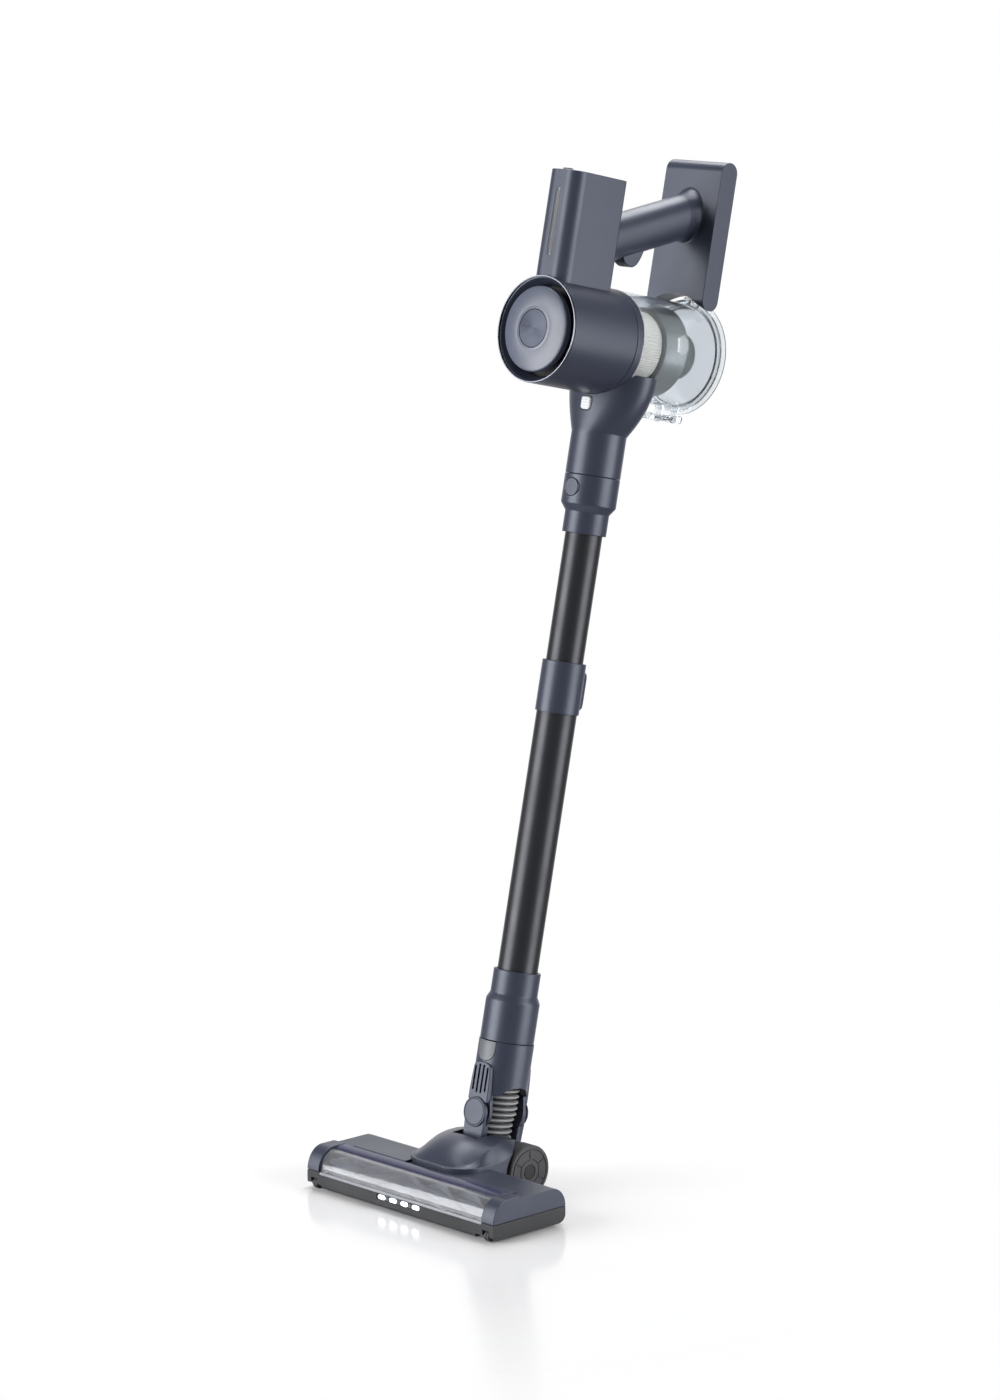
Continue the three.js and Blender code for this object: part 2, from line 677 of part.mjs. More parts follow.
// The trumpet where the handle runs into the battery's case.
function flare() {
  const rings = [];
  const upright = HANDLE_HEIGHT / Math.cos(HANDLE_SLOPE);
  for (const share of [0, 0.35, 0.65, 0.85, 1]) {
    const grow = share ** 2.2;
    const halfWidth = (HANDLE_WIDTH + (FLARE_WIDTH - HANDLE_WIDTH) * grow) / 2;
    const halfHeight = (upright + (FLARE_HEIGHT - upright) * grow) / 2;
    rings.push(handleRing(SLAB_FRONT - FLARE_LENGTH * (1 - share), halfWidth, halfHeight));
  }
  rings.push(handleRing(SLAB_FRONT + WALL, FLARE_WIDTH / 2, FLARE_HEIGHT / 2));
  return loft(rings);
}

function packOutline(grow) {
  const [width, height] = [2 * (PACK_HALF_WIDTH + grow), PACK_TOP - PACK_BOTTOM + 2 * grow];
  return roundedRectangle(width, height, 6 + grow, 0, (PACK_TOP + PACK_BOTTOM) / 2);
}

function batteryHousing() {
  const block = prism(slabProfile(), "x", -SLAB_HALF_WIDTH, SLAB_HALF_WIDTH, ARC);
  const arch = rod(SLAB_ARCH_RADIUS, "y", 0, 150, BARREL_CENTRE, ROUND);
  const bay = prism(packOutline(GAP), "y", SLAB_REAR - PACK_DEPTH - GAP, SLAB_REAR + 1, ARC);
  const wires = handleBar(HANDLE_WIDTH / 4);
  return cut(joined(block, flare()), arch, bay, wires);
}

function latchOutline(grow) {
  return roundedRectangle(LATCH_WIDTH + 2 * grow, 7 + 2 * grow, 3, 0, LATCH_RISE);
}

function cellBay() {
  const bottom = PACK_BOTTOM + 5;
  const half = PACK_HALF_WIDTH - WALL;
  return roundedRectangle(2 * half, LATCH_RISE - 8 - bottom, GAP, 0, (LATCH_RISE - 8 + bottom) / 2);
}

function batteryPack() {
  const front = SLAB_REAR - PACK_DEPTH;
  const block = prism(packOutline(0), "y", front, SLAB_REAR, ARC);
  const bay = prism(cellBay(), "y", front - 1, SLAB_REAR - THIN_WALL, ARC);
  const pocket = prism(latchOutline(GAP), "y", SLAB_REAR - 5, SLAB_REAR + 1, ARC);
  return cut(block, bay, pocket);
}

function batteryLatch() {
  return prism(latchOutline(0), "y", SLAB_REAR - 5 + LATCH_TRAVEL + GAP, SLAB_REAR + 0.2 - GAP, ARC);
}

// Cells side by side in the pack, with the strips that join them.
function batteryCells() {
  const cellDepth = PACK_DEPTH - THIN_WALL - 2 * GAP;
  const radius = Math.min(CELL_RADIUS, cellDepth / 2);
  const y = SLAB_REAR - THIN_WALL - GAP - radius;
  const half = PACK_HALF_WIDTH - WALL - GAP;
  const rows = 5;
  const pitch = (LATCH_RISE - 13 - PACK_BOTTOM - 2 * radius) / (rows - 1) - 0.4;
  const first = PACK_BOTTOM + 5 + GAP + radius;
  const cells = [];
  for (let row = 0; row < rows; row++) {
    cells.push(rod(radius, "x", -half, half, [0, y, first + row * pitch], PIN));
  }
  const strip = box(half - 2, half - 1, y - 3, y + 3, first, first + (rows - 1) * pitch);
  return joined(...cells, strip);
}

// ---- neck that carries the barrel and feeds the cup

function neckRings(inset) {
  const rings = [];
  const foot = CONNECTOR_TOP + GAP;
  for (const z of [foot - inset, INLET_PLAIN_TOP]) {
    rings.push(ellipseRing(0, 0, z, CONNECTOR_RADIUS - inset, CONNECTOR_RADIUS - inset, MEDIUM));
  }
  const steps = 6;
  for (let step = 1; step <= steps; step++) {
    const share = step / steps;
    const spread = 1 - (1 - share) ** 2;
    const z = INLET_PLAIN_TOP + (INLET_TOP - INLET_PLAIN_TOP) * share + (step === steps ? inset : 0);
    const halfX = CONNECTOR_RADIUS + (INLET_HALF_WIDTH - CONNECTOR_RADIUS) * spread - inset;
    const halfY = CONNECTOR_RADIUS + INLET_FLARE * spread - inset;
    rings.push(ellipseRing(0, INLET_OFFSET * spread, z, halfX, halfY, MEDIUM));
  }
  return rings;
}

function releaseOutline(grow) {
  const [width, height] = [RELEASE_WIDTH + 2 * grow, RELEASE_HEIGHT + 2 * grow];
  return roundedRectangle(width, height, 3 + grow, 0, RELEASE_RISE);
}

function neckInlet() {
  const seat = rod(BARREL_RADIUS + GAP, "y", -150, 150, BARREL_CENTRE, ROUND);
  const hole = prism(releaseOutline(GAP), "y", -40, 0, ARC);
  const boss = prism(releaseOutline(3), "y", RELEASE_FACE + 1.6, -8, ARC).intersect(loft(neckRings(0)));
  return cut(joined(cut(loft(neckRings(0)), loft(neckRings(NECK_WALL))), boss), seat, hole);
}

function cupReleaseButton() {
  return prism(releaseOutline(0), "y", RELEASE_FACE, -12, ARC);
}

// ---- dust cup, in the wand's frame, behind the barrel and on its axis

function dustCup() {
  const wall = pipe(CUP_RADIUS, CUP_BORE, "y", CUP_FRONT, CUP_REAR, BARREL_CENTRE, ROUND);
  const frontWall = CUP_FRONT + CUP_WALL;
  const collar = pipe(CUP_RADIUS, FILTER_RADIUS - 4, "y", CUP_FRONT, frontWall, BARREL_CENTRE, ROUND);
  const inlet = rod(11, "z", BARREL_RISE - CUP_RADIUS - 1, BARREL_RISE - CUP_BORE + 6, [0, 15, 0], SMALL);
  const arm = box(-HINGE_HALF_WIDTH, HINGE_HALF_WIDTH, CUP_REAR - 12, CUP_REAR - 1,
    BARREL_RISE + CUP_BORE, HINGE_Z - 1);
  const under = HINGE_Z - HINGE_RADIUS;
  const reach = box(-HINGE_HALF_WIDTH, HINGE_HALF_WIDTH, CUP_REAR - 2, HINGE_Y, under, HINGE_Z);
  const knuckle = rod(HINGE_RADIUS, "x", -HINGE_HALF_WIDTH, HINGE_HALF_WIDTH, [0, HINGE_Y, HINGE_Z], PIN);
  const pinHole = rod(HINGE_PIN_RADIUS + GAP, "x", -20, 20, [0, HINGE_Y, HINGE_Z], PIN);
  const body = cut(joined(wall, collar, arm, reach, knuckle), inlet, pinHole);
  const leverHole = rod(LEVER_PIN_RADIUS + GAP, "x", -30, 30, LEVER_PIVOT, PIN);
  return cut(joined(body, latchEar(-1), latchEar(1)), leverHole);
}

// One of the two ears under the cup that hold the lever's pins.
function latchEar(side) {
  const inner = LATCH_HALF_WIDTH + GAP;
  const [y, z] = [LEVER_PIVOT[1], LEVER_PIVOT[2]];
  const shape = new THREE.Shape();
  shape.absarc(y, z, 4, Math.PI, 2 * Math.PI);
  shape.lineTo(y + 5, BARREL_RISE - CUP_RADIUS + 1.6);
  shape.lineTo(y - 5, BARREL_RISE - CUP_RADIUS + 1.6);
  const from = side > 0 ? inner : -inner - EAR_WIDTH;
  const clear = rod(CUP_BORE + 0.6, "y", 0, 150, BARREL_CENTRE, ROUND);
  return cut(prism(shape, "x", from, from + EAR_WIDTH, FINE_ARC), clear);
}

function filterCore() {
  const front = CUP_FRONT + CUP_WALL + GAP;
  return pipe(FILTER_RADIUS, FILTER_RADIUS - 8, "y", front, FILTER_REAR, BARREL_CENTRE, MEDIUM);
}

// A flared metal skirt with a lip on the filter and a rear wall round the hub.
function cycloneShroud() {
  const front = FILTER_REAR + GAP;
  const flareFront = SHROUD_RADIUS - 4;
  const hubSeat = HUB_RADIUS + GAP;
  const profile = [
    [FILTER_RADIUS - 4, front],
    [flareFront, front],
    [SHROUD_RADIUS, SHROUD_REAR],
    [hubSeat, SHROUD_REAR],
    [hubSeat, SHROUD_REAR - THIN_WALL],
    [SHROUD_RADIUS - THIN_WALL - 0.3, SHROUD_REAR - THIN_WALL],
    [flareFront - THIN_WALL, front + THIN_WALL],
    [FILTER_RADIUS - 4, front + THIN_WALL],
    [FILTER_RADIUS - 4, front],
  ];
  return turned(profile, "y", BARREL_CENTRE, MEDIUM);
}

// A round-ended pot behind the shroud, open towards the motor.
function cycloneHub() {
  const front = SHROUD_REAR - THIN_WALL - 1;
  const rear = LID_FRONT - LID_PLUG - GAP - 0.5;
  const bore = HUB_RADIUS - WALL;
  const profile = [
    [bore, front - 6],
    [HUB_RADIUS, front - 6],
    [HUB_RADIUS, rear - 3],
    [HUB_RADIUS - 3, rear],
    [0, rear],
    [0, rear - WALL],
    [bore, rear - WALL - 2],
    [bore, front - 6],
  ];
  return turned(profile, "y", BARREL_CENTRE, SMALL);
}

// The lid: a rimmed disc, a plug that enters the cup, and two lugs on the hinge pin.
function cupLid() {
  const plugRadius = CUP_BORE - SEAL_WIDTH - 2 * GAP;
  const profile = [
    [0, LID_FRONT - LID_PLUG],
    [plugRadius, LID_FRONT - LID_PLUG],
    [plugRadius, LID_FRONT],
    [LID_RADIUS, LID_FRONT],
    [LID_RADIUS, LID_REAR],
    [LID_RADIUS - 3, LID_REAR],
    [LID_RADIUS - 4.5, LID_REAR - 1.2],
    [0, LID_REAR - 1.2],
  ];
  const disc = turned(profile, "y", BARREL_CENTRE, ROUND);
  const half = HINGE_HALF_WIDTH + GAP;
  const notch = box(-half, half, LID_FRONT - 0.1, LID_REAR + 5, HINGE_Z - HINGE_RADIUS - 1, HINGE_Z + 9);
  const pin = rod(HINGE_PIN_RADIUS, "x", -half - 3, half + 3, [0, HINGE_Y, HINGE_Z], PIN);
  return joined(cut(disc, notch), lidLug(-1), lidLug(1), pin);
}

function lidLug(side) {
  const from = side > 0 ? HINGE_HALF_WIDTH + GAP : -HINGE_HALF_WIDTH - GAP - 4;
  const boss = rod(HINGE_RADIUS, "x", from, from + 4, [0, HINGE_Y, HINGE_Z], PIN);
  const web = box(from, from + 4, LID_FRONT + 1, HINGE_Y + 1.5, HINGE_Z - 9, HINGE_Z - 1);
  return joined(boss, web);
}

function lidSeal() {
  const inner = CUP_BORE - SEAL_WIDTH - GAP;
  return pipe(CUP_BORE - GAP, inner, "y", LID_FRONT - LID_PLUG + 0.5, LID_FRONT - GAP, BARREL_CENTRE, ROUND);
}

// A rocking lever: a thumb pad in front, pins in the middle and a hook behind the lid's rim.
function lidLatch() {
  const bottom = LEVER_TOP - LEVER_THICKNESS;
  const hookRear = LID_REAR + GAP + HOOK_DEPTH;
  const hookTop = BARREL_RISE - LID_RADIUS - GAP - 0.2;
  const shape = outline(
    [LEVER_FRONT, bottom + 1],
    [LEVER_FRONT + 2, bottom],
    [hookRear - 1, bottom],
    [hookRear, bottom + 1],
    [hookRear, hookTop - 1],
    [hookRear - HOOK_DEPTH, hookTop],
    [hookRear - HOOK_DEPTH, LEVER_TOP - 1],
    [LEVER_PIVOT[1] + 4, LEVER_TOP],
    [LEVER_PIVOT[1] - 5, LEVER_TOP],
    [LEVER_PIVOT[1] - 9, LEVER_TOP - 2.5],
    [LEVER_FRONT + 11, LEVER_TOP - 2.5],
    [LEVER_FRONT + 9, LEVER_TOP],
    [LEVER_FRONT, LEVER_TOP],
  );
  const lever = prism(shape, "x", -LATCH_HALF_WIDTH, LATCH_HALF_WIDTH);
  const reach = LATCH_HALF_WIDTH + GAP + EAR_WIDTH - 0.2;
  return joined(lever, rod(LEVER_PIN_RADIUS, "x", -reach, reach, LEVER_PIVOT, PIN));
}

// ---- wand tubes

// Rings with a small socket below, for the tube, and a plain bore above.
function wandConnector() {
  const bore = UPPER_TUBE_RADIUS + GAP;
  const profile = [
    [bore, CONNECTOR_FOOT],
    [bore + 2.7, CONNECTOR_FOOT],
    [bore + 2.7, CONNECTOR_STEP - 5],
    [CONNECTOR_RADIUS - 1.6, CONNECTOR_STEP],
    [CONNECTOR_RADIUS, CONNECTOR_STEP + 1.6],
    [CONNECTOR_RADIUS, CONNECTOR_TOP],
    [bore - TUBE_WALL, CONNECTOR_TOP],
    [bore - TUBE_WALL, CONNECTOR_STEP + 2],
    [bore, CONNECTOR_STEP + 2],
    [bore, CONNECTOR_FOOT],
  ];
  const hole = rod(BUTTON_RADIUS + GAP, "y", -40, -UPPER_TUBE_RADIUS - 2.6, [0, 0, BUTTON_RISE], SMALL);
  return cut(turned(profile, "z", [0, 0, 0], MEDIUM), hole);
}

function wandReleaseButton() {
  const face = -CONNECTOR_RADIUS - 0.6;
  return rod(BUTTON_RADIUS, "y", face, -UPPER_TUBE_RADIUS - 5.6, [0, 0, BUTTON_RISE], SMALL);
}

function upperTube() {
  const top = CONNECTOR_STEP + 2 - GAP;
  const bore = UPPER_TUBE_RADIUS - TUBE_WALL;
  return pipe(UPPER_TUBE_RADIUS, bore, "z", UPPER_TUBE_BOTTOM, top, [0, 0, 0], MEDIUM);
}

// A plastic bush on the inner end of the upper tube, with a spigot inside it.
function tubeGuide() {
  const top = UPPER_TUBE_BOTTOM - GAP;
  const spigot = UPPER_TUBE_RADIUS - TUBE_WALL - GAP;
  const bore = spigot - THIN_WALL;
  const profile = [
    [bore, top - GUIDE_LENGTH],
    [LOWER_BORE - GUIDE_GAP, top - GUIDE_LENGTH],
    [LOWER_BORE - GUIDE_GAP, top],
    [spigot, top],
    [spigot, top + GUIDE_LENGTH],
    [bore, top + GUIDE_LENGTH],
    [bore, top - GUIDE_LENGTH],
  ];
  return turned(profile, "z", [0, 0, 0], MEDIUM);
}

function lowerTube() {
  const bottom = COLLAR_TOP - 24;
  return pipe(LOWER_TUBE_RADIUS, LOWER_BORE, "z", bottom, TELESCOPE_BOTTOM + 30, [0, 0, 0], MEDIUM);
}

// The sliding joint's collar, with the housing of its lock at the back.
function telescopeCollar() {
  const bore = LOWER_TUBE_RADIUS + GAP;
  const step = TELESCOPE_BOTTOM + 30 + GAP;
  const profile = [
    [bore, TELESCOPE_BOTTOM],
    [TELESCOPE_RADIUS - 0.6, TELESCOPE_BOTTOM],
    [TELESCOPE_RADIUS, TELESCOPE_BOTTOM + 2],
    [TELESCOPE_RADIUS, TELESCOPE_TOP - 1],
    [TELESCOPE_RADIUS - 1, TELESCOPE_TOP],
    [UPPER_TUBE_RADIUS + GAP, TELESCOPE_TOP],
    [UPPER_TUBE_RADIUS + GAP, step],
    [bore, step],
    [bore, TELESCOPE_BOTTOM],
  ];
  const ring = turned(profile, "z", [0, 0, 0], MEDIUM);
  const [low, high] = [TELESCOPE_BOTTOM + 4, TELESCOPE_TOP - 7];
  const lump = cut(box(-LOCK_HALF_WIDTH, LOCK_HALF_WIDTH, 12, LOCK_FACE - 1.6, low, high),
    rod(bore, "z", low - 1, step, [0, 0, 0], MEDIUM),
    rod(UPPER_TUBE_RADIUS + GAP, "z", low - 1, high + 1, [0, 0, 0], MEDIUM));
  const pocket = prism(lockOutline(GAP), "y", LOWER_TUBE_RADIUS + 1.2, LOCK_FACE + 1, ARC);
  return cut(joined(ring, lump), pocket);
}

function lockOutline(grow) {
  const [low, high] = [TELESCOPE_BOTTOM + 8, TELESCOPE_TOP - 11];
  return roundedRectangle(2 * (LOCK_HALF_WIDTH - 2 + grow), high - low + 2 * grow, 4, 0, (low + high) / 2);
}

function telescopeButton() {
  return prism(lockOutline(0), "y", LOWER_TUBE_RADIUS + 1.2 + GAP + LOCK_TRAVEL, LOCK_FACE, ARC);
}

// ---- neck below the wand

function wandFootCollar() {
  const bore = LOWER_TUBE_RADIUS + GAP;
  const tubeSeat = COLLAR_TOP - 24 - GAP;
  const profile = [
    [NECK_TUBE_BORE, NECK_TOP + GAP],
    [NECK_RADIUS - 0.6, NECK_TOP + GAP],
    [NECK_RADIUS - 1, COLLAR_SHOULDER - 2],
    [COLLAR_RADIUS + 1, COLLAR_SHOULDER + 2],
    [COLLAR_RADIUS, COLLAR_SHOULDER + 3],
    [COLLAR_RADIUS, COLLAR_TOP - 1],
    [COLLAR_RADIUS - 1, COLLAR_TOP],
    [bore, COLLAR_TOP],
    [bore, tubeSeat],
    [NECK_TUBE_BORE, tubeSeat],
    [NECK_TUBE_BORE, NECK_TOP + GAP],
  ];
  return turned(profile, "z", [0, 0, 0], MEDIUM);
}

function neckButtonOutline(grow) {
  const [low, high] = [NECK_BUTTON_BOTTOM - grow, NECK_BUTTON_TOP + grow];
  return roundedRectangle(NECK_BUTTON_WIDTH + 2 * grow, high - low, 7, 0, (low + high) / 2);
}

// The neck: a tube with an arch in each flank, a grooved front, and two ears that reach down to
// the tilt pivot.
function headNeck() {
  const tube = pipe(NECK_RADIUS, NECK_BORE, "z", NECK_BOTTOM, NECK_TOP, [0, 0, 0], MEDIUM);
  const floor = pipe(NECK_RADIUS - 1, NECK_TUBE_BORE, "z", NECK_TOP - 5, NECK_TOP, [0, 0, 0], MEDIUM);
  const arch = prism(ellipse(0, NECK_BOTTOM, NECK_ARCH_REACH, NECK_ARCH_RISE), "x", -40, 40, FINE_ARC);
  const body = joined(cut(tube, arch), floor, neckEar(-1), neckEar(1));
  const grooves = [];
  const floorY = GROOVE_DEPTH - NECK_RADIUS;
  for (let step = 0; step < GROOVE_COUNT; step++) {
    const left = (step - (GROOVE_COUNT - 1) / 2) * GROOVE_PITCH - GROOVE_WIDTH / 2;
    const top = GROOVE_BOTTOM + GROOVE_LENGTH;
    grooves.push(box(left, left + GROOVE_WIDTH, -2 * NECK_RADIUS, floorY, GROOVE_BOTTOM, top));
  }
  const pocket = prism(neckButtonOutline(GAP), "y", -40, -10, ARC);
  const pivot = rod(TILT_PIN_RADIUS + GAP, "y", -40, 40, [0, 0, 0], SMALL);
  return cut(body, ...grooves, pocket, pivot);
}

// An ear lies inside the yoke's eye, and carries a tapered plate that stops above the eye.
function neckEar(side) {
  const span = (inner, outer) => (side > 0 ? [inner, outer] : [-outer, -inner]);
  const shape = new THREE.Shape();
  shape.absarc(0, 0, EAR_RADIUS, Math.PI, 2 * Math.PI);
  shape.lineTo(EAR_RADIUS, EAR_TOP);
  shape.lineTo(-EAR_RADIUS, EAR_TOP);
  const tongue = prism(shape, "y", ...span(EAR_INNER, EAR_STEP), FINE_ARC);
  const taper = outline(
    [-EAR_PLATE_FOOT, EAR_PLATE_BOTTOM],
    [EAR_PLATE_FOOT, EAR_PLATE_BOTTOM],
    [EAR_PLATE_HEAD, EAR_TOP],
    [-EAR_PLATE_HEAD, EAR_TOP],
  );
  const plate = prism(taper, "y", ...span(EAR_INNER + 1, EAR_OUTER));
  const eyeRoom = rod(YOKE_TOP_RADIUS + 2 * GAP, "y", ...span(EAR_STEP, 40), [0, 0, 0], MEDIUM);
  const bore = rod(NECK_BORE, "z", NECK_BOTTOM - 1, NECK_TOP + 1, [0, 0, 0], MEDIUM);
  return cut(joined(tongue, plate), eyeRoom, bore);
}

function neckReleaseButton() {
  const plate = pipe(NECK_RADIUS + 0.6, NECK_BORE - 1, "z", 0, NECK_TOP, [0, 0, 0], MEDIUM);
  return prism(neckButtonOutline(0), "y", -40, -10, ARC).intersect(plate);
}

function pivotCap(side) {
  const [inner, outer] = [EAR_OUTER + GAP, PIVOT_CAP_FACE];
  const [from, to] = side > 0 ? [inner, outer] : [-outer, -inner];
  const disc = rod(PIVOT_CAP_RADIUS, "y", from, to, [0, 0, 0], SMALL);
  const tip = EAR_INNER + 0.5;
  const pin = side > 0 ? rod(TILT_PIN_RADIUS, "y", tip, from + 0.1, [0, 0, 0], SMALL)
    : rod(TILT_PIN_RADIUS, "y", to - 0.1, -tip, [0, 0, 0], SMALL);
  return joined(disc, pin);
}

// ---- yoke and hose, in the wand's frame

function yokeArm(side) {
  const span = (inner, outer) => (side > 0 ? [inner, outer] : [-outer, -inner]);
  const eye = new THREE.Shape();
  eye.absarc(0, 0, YOKE_TOP_RADIUS, 0, Math.PI);
  eye.lineTo(-YOKE_TOP_RADIUS, YOKE_BASE_BOTTOM);
  eye.lineTo(YOKE_TOP_RADIUS, YOKE_BASE_BOTTOM);
  const upper = prism(eye, "y", ...span(YOKE_EYE_INNER, YOKE_ARM_FACE), FINE_ARC);
  const half = YOKE_HALF_WIDTH;
  const lower = box(-half, half, ...span(YOKE_ARM_INNER, YOKE_ARM_FACE), YOKE_BASE_BOTTOM, -8);
  const cradle = rod(EAR_RADIUS + 0.8, "y", ...span(0, YOKE_EYE_INNER), [0, 0, 0], MEDIUM);
  const eyeHole = rod(TILT_PIN_RADIUS + GAP, "y", -40, 40, [0, 0, 0], SMALL);
  return cut(joined(upper, cut(lower, cradle)), eyeHole);
}

// Two arms on a base ring, with a trunnion at each side.
function yoke() {
  const half = YOKE_BASE_HALF_WIDTH;
  const base = box(-half, half, -YOKE_ARM_FACE, YOKE_ARM_FACE, YOKE_BASE_BOTTOM, YOKE_BASE_TOP);
  const airway = rod(HOSE_BORE, "z", YOKE_BASE_BOTTOM - 1, YOKE_BASE_TOP + 1, [0, 0, 0], SMALL);
  const body = cut(joined(yokeArm(-1), yokeArm(1), base), airway);
  return joined(body, trunnion(-1), trunnion(1));
}

function trunnion(side) {
  const [from, to] = side > 0 ? [13, TRUNNION_END] : [-TRUNNION_END, -13];
  return rod(TRUNNION_RADIUS, "x", from, to, AXLE_IN_WAND, SMALL);
}

// The hose is oval at its foot, where the dome's slot holds it in, and round at its top.
function flexibleHose() {
  const skin = (inset, below, above) => {
    const rings = [
      [below, HOSE_FOOT_RADIUS],
      [HOSE_WAIST_BOTTOM, HOSE_FOOT_RADIUS],
      [HOSE_WAIST_TOP, HOSE_RADIUS],
      [above, HOSE_RADIUS],
    ];
    return loft(rings.map(([z, wide]) => ellipseRing(0, 0, z, wide - inset, HOSE_RADIUS - inset)));
  };
  const foot = YOKE_BASE_TOP + GAP;
  return cut(skin(0, foot, HOSE_TOP), skin(HOSE_WALL, foot - 1, HOSE_TOP + 1));
}

// ---- floor head, in its own frame

// The head's upper outline in the (y, z) plane, from one end of its arcs to the other.
function upperOutline(inset, from, to, foot) {
  const shape = new THREE.Shape();
  const rise = ARC_RISE - inset;
  const arcPoint = (centre, reach, angle) => [
    centre + reach * Math.cos(angle),
    PARTING_Z + rise * Math.sin(angle),
  ];
  const low = Math.asin(Math.max(0, foot - PARTING_Z) / rise);
  const sweep = Math.PI / 2 - low;
  const points = [];
  const steps = 6;
  if (foot < PARTING_Z || from >= FRONT_ARC_Y) points.push([from, foot]);
  if (from < FRONT_ARC_Y) {
    for (let i = 0; i <= steps; i++) {
      points.push(arcPoint(FRONT_ARC_Y, FRONT_ARC - inset, Math.PI - low - (i * sweep) / steps));
    }
  } else {
    points.push([from, HEAD_TOP - inset]);
  }
  if (to > REAR_ARC_Y) {
    for (let i = 0; i <= steps; i++) {
      points.push(arcPoint(REAR_ARC_Y, REAR_ARC - inset, Math.PI / 2 - (i * sweep) / steps));
    }
  } else {
    points.push([to, HEAD_TOP - inset]);
  }
  if (foot < PARTING_Z || to <= REAR_ARC_Y) points.push([to, foot]);
  shape.setFromPoints(points.map(([y, z]) => new THREE.Vector2(y, z)));
  return shape;
}

// The space that the yoke sweeps as it pitches.
function yokeSweep() {
  const half = SLOT_HALF_WIDTH;
  const swept = rod(SWEEP_RADIUS, "x", -half, half, AXLE, MEDIUM);
  const above = box(-half, half, SLOT_FRONT, AXLE_Y + 60, WHEEL_RADIUS + 4, DOME_TOP + 20);
  return joined(swept, above);
}

function headShell() {
  const front = WINDOW_REAR_Y;
  const foot = PARTING_Z + GAP;
  const outer = prism(upperOutline(0, front, HEAD_REAR, foot), "x", -HALF_HEAD, HALF_HEAD);
  const inside = HALF_HEAD - WALL;
  const inner = prism(upperOutline(WALL, front + WALL, HEAD_REAR - WALL, foot - 1), "x", -inside, inside);
  const opening = box(-inside, inside, front - 1, front + WALL + 1, foot - 1, HEAD_TOP - WALL - 2);
  return cut(outer, inner, opening, yokeSweep());
}

function endCap(side) {
  const seam = HALF_HEAD - END_CAP_WIDTH;
  const [from, to] = side > 0 ? [seam, HALF_HEAD] : [-HALF_HEAD, -seam];
  const rear = WINDOW_REAR_Y - GAP;
  const foot = PARTING_Z + GAP;
  const outer = prism(upperOutline(0, HEAD_FRONT, rear, foot), "x", from, to);
  const [inFrom, inTo] = side > 0 ? [from - 1, to - WALL] : [from + WALL, to + 1];
  const inset = WALL + 0.4;
  const inner = prism(upperOutline(inset, HEAD_FRONT + inset, rear + 1, foot - 1), "x", inFrom, inTo);
  return cut(outer, inner);
}

function brushWindow() {
  const rear = WINDOW_REAR_Y - GAP;
  const half = WINDOW_HALF_WIDTH;
  const inset = WINDOW_RECESS + WINDOW_WALL;
  const foot = PARTING_Z + GAP;
  const outer = prism(upperOutline(WINDOW_RECESS, HEAD_FRONT + WINDOW_RECESS, rear, foot), "x", -half, half);
  const inner = prism(upperOutline(inset, HEAD_FRONT + inset, rear + 1, foot - 1), "x", -half - 1, half + 1);
  return cut(outer, inner);
}

function windowRail() {
  const rear = HEAD_FRONT + WINDOW_RECESS + WINDOW_WALL + 0.6;
  const half = WINDOW_HALF_WIDTH;
  return box(-half, half, HEAD_FRONT + GAP, rear, PARTING_Z - RAIL_HEIGHT, PARTING_Z);
}

// The lower casing: a tray with the brush's mouth, its bearings and the arms that hold the axle.
function headBase() {
  const shape = new THREE.Shape();
  shape.moveTo(HEAD_FRONT, PARTING_Z);
  shape.lineTo(HEAD_FRONT, SOLE_Z + 2.5);
  shape.lineTo(HEAD_FRONT + 2.5, SOLE_Z);
  shape.lineTo(HEAD_REAR - 9, SOLE_Z);
  shape.quadraticCurveTo(HEAD_REAR - 2.5, SOLE_Z + 4, HEAD_REAR, PARTING_Z);
  const block = prism(shape, "x", -HALF_HEAD, HALF_HEAD, ARC);
  const inside = HALF_HEAD - WALL;
  const tray = box(-inside, inside, HEAD_FRONT + WALL, HEAD_REAR - WALL - 2.4, FLOOR_TOP, PARTING_Z + 1);
  const under = HEAD_TOP - WALL - GAP;
  const partition = box(GAP - inside, inside - GAP, PARTITION_Y, PARTITION_Y + WALL, FLOOR_TOP - 1, under);
  const bearings = joined(brushBearing(-1), brushBearing(1));
  const body = joined(cut(block, tray), partition, bearings, axleArm(-1), axleArm(1));
  const mouthHalf = BEARING_X - 3;
  const mouth = box(-mouthHalf, mouthHalf, HEAD_FRONT + 5, PARTITION_Y - 1, -5, FLOOR_TOP + 0.1);
  const beltSlot = box(BELT_X - BELT_WIDTH, BELT_X + BELT_WIDTH, PARTITION_Y - 1, PARTITION_Y + WALL + 1,
    FLOOR_TOP, HEAD_TOP);
  const railStep = box(-WINDOW_HALF_WIDTH - GAP, WINDOW_HALF_WIDTH + GAP, HEAD_FRONT - 1, HEAD_FRONT + 6,
    PARTING_Z - RAIL_HEIGHT - GAP, PARTING_Z + 1);
  const lights = prism(ledOutline(GAP), "y", HEAD_FRONT - 1, HEAD_FRONT + WALL + 1, ARC);
  const axleHole = rod(STUB_RADIUS + GAP, "x", -60, 60, AXLE, SMALL);
  const seats = rod(TRUNNION_RADIUS + GAP, "x", -ARM_SEAT_END, ARM_SEAT_END, AXLE, SMALL);
  const pins = rod(BRUSH_PIN_RADIUS + GAP, "x", -HALF_HEAD + WALL, HALF_HEAD - WALL, BRUSH_CENTRE, PIN);
  const openings = [mouth, beltSlot, railStep, lights, axleHole, seats, pins];
  return cut(body, ...openings, rollerPocket(-1), rollerPocket(1), yokeSweep());
}

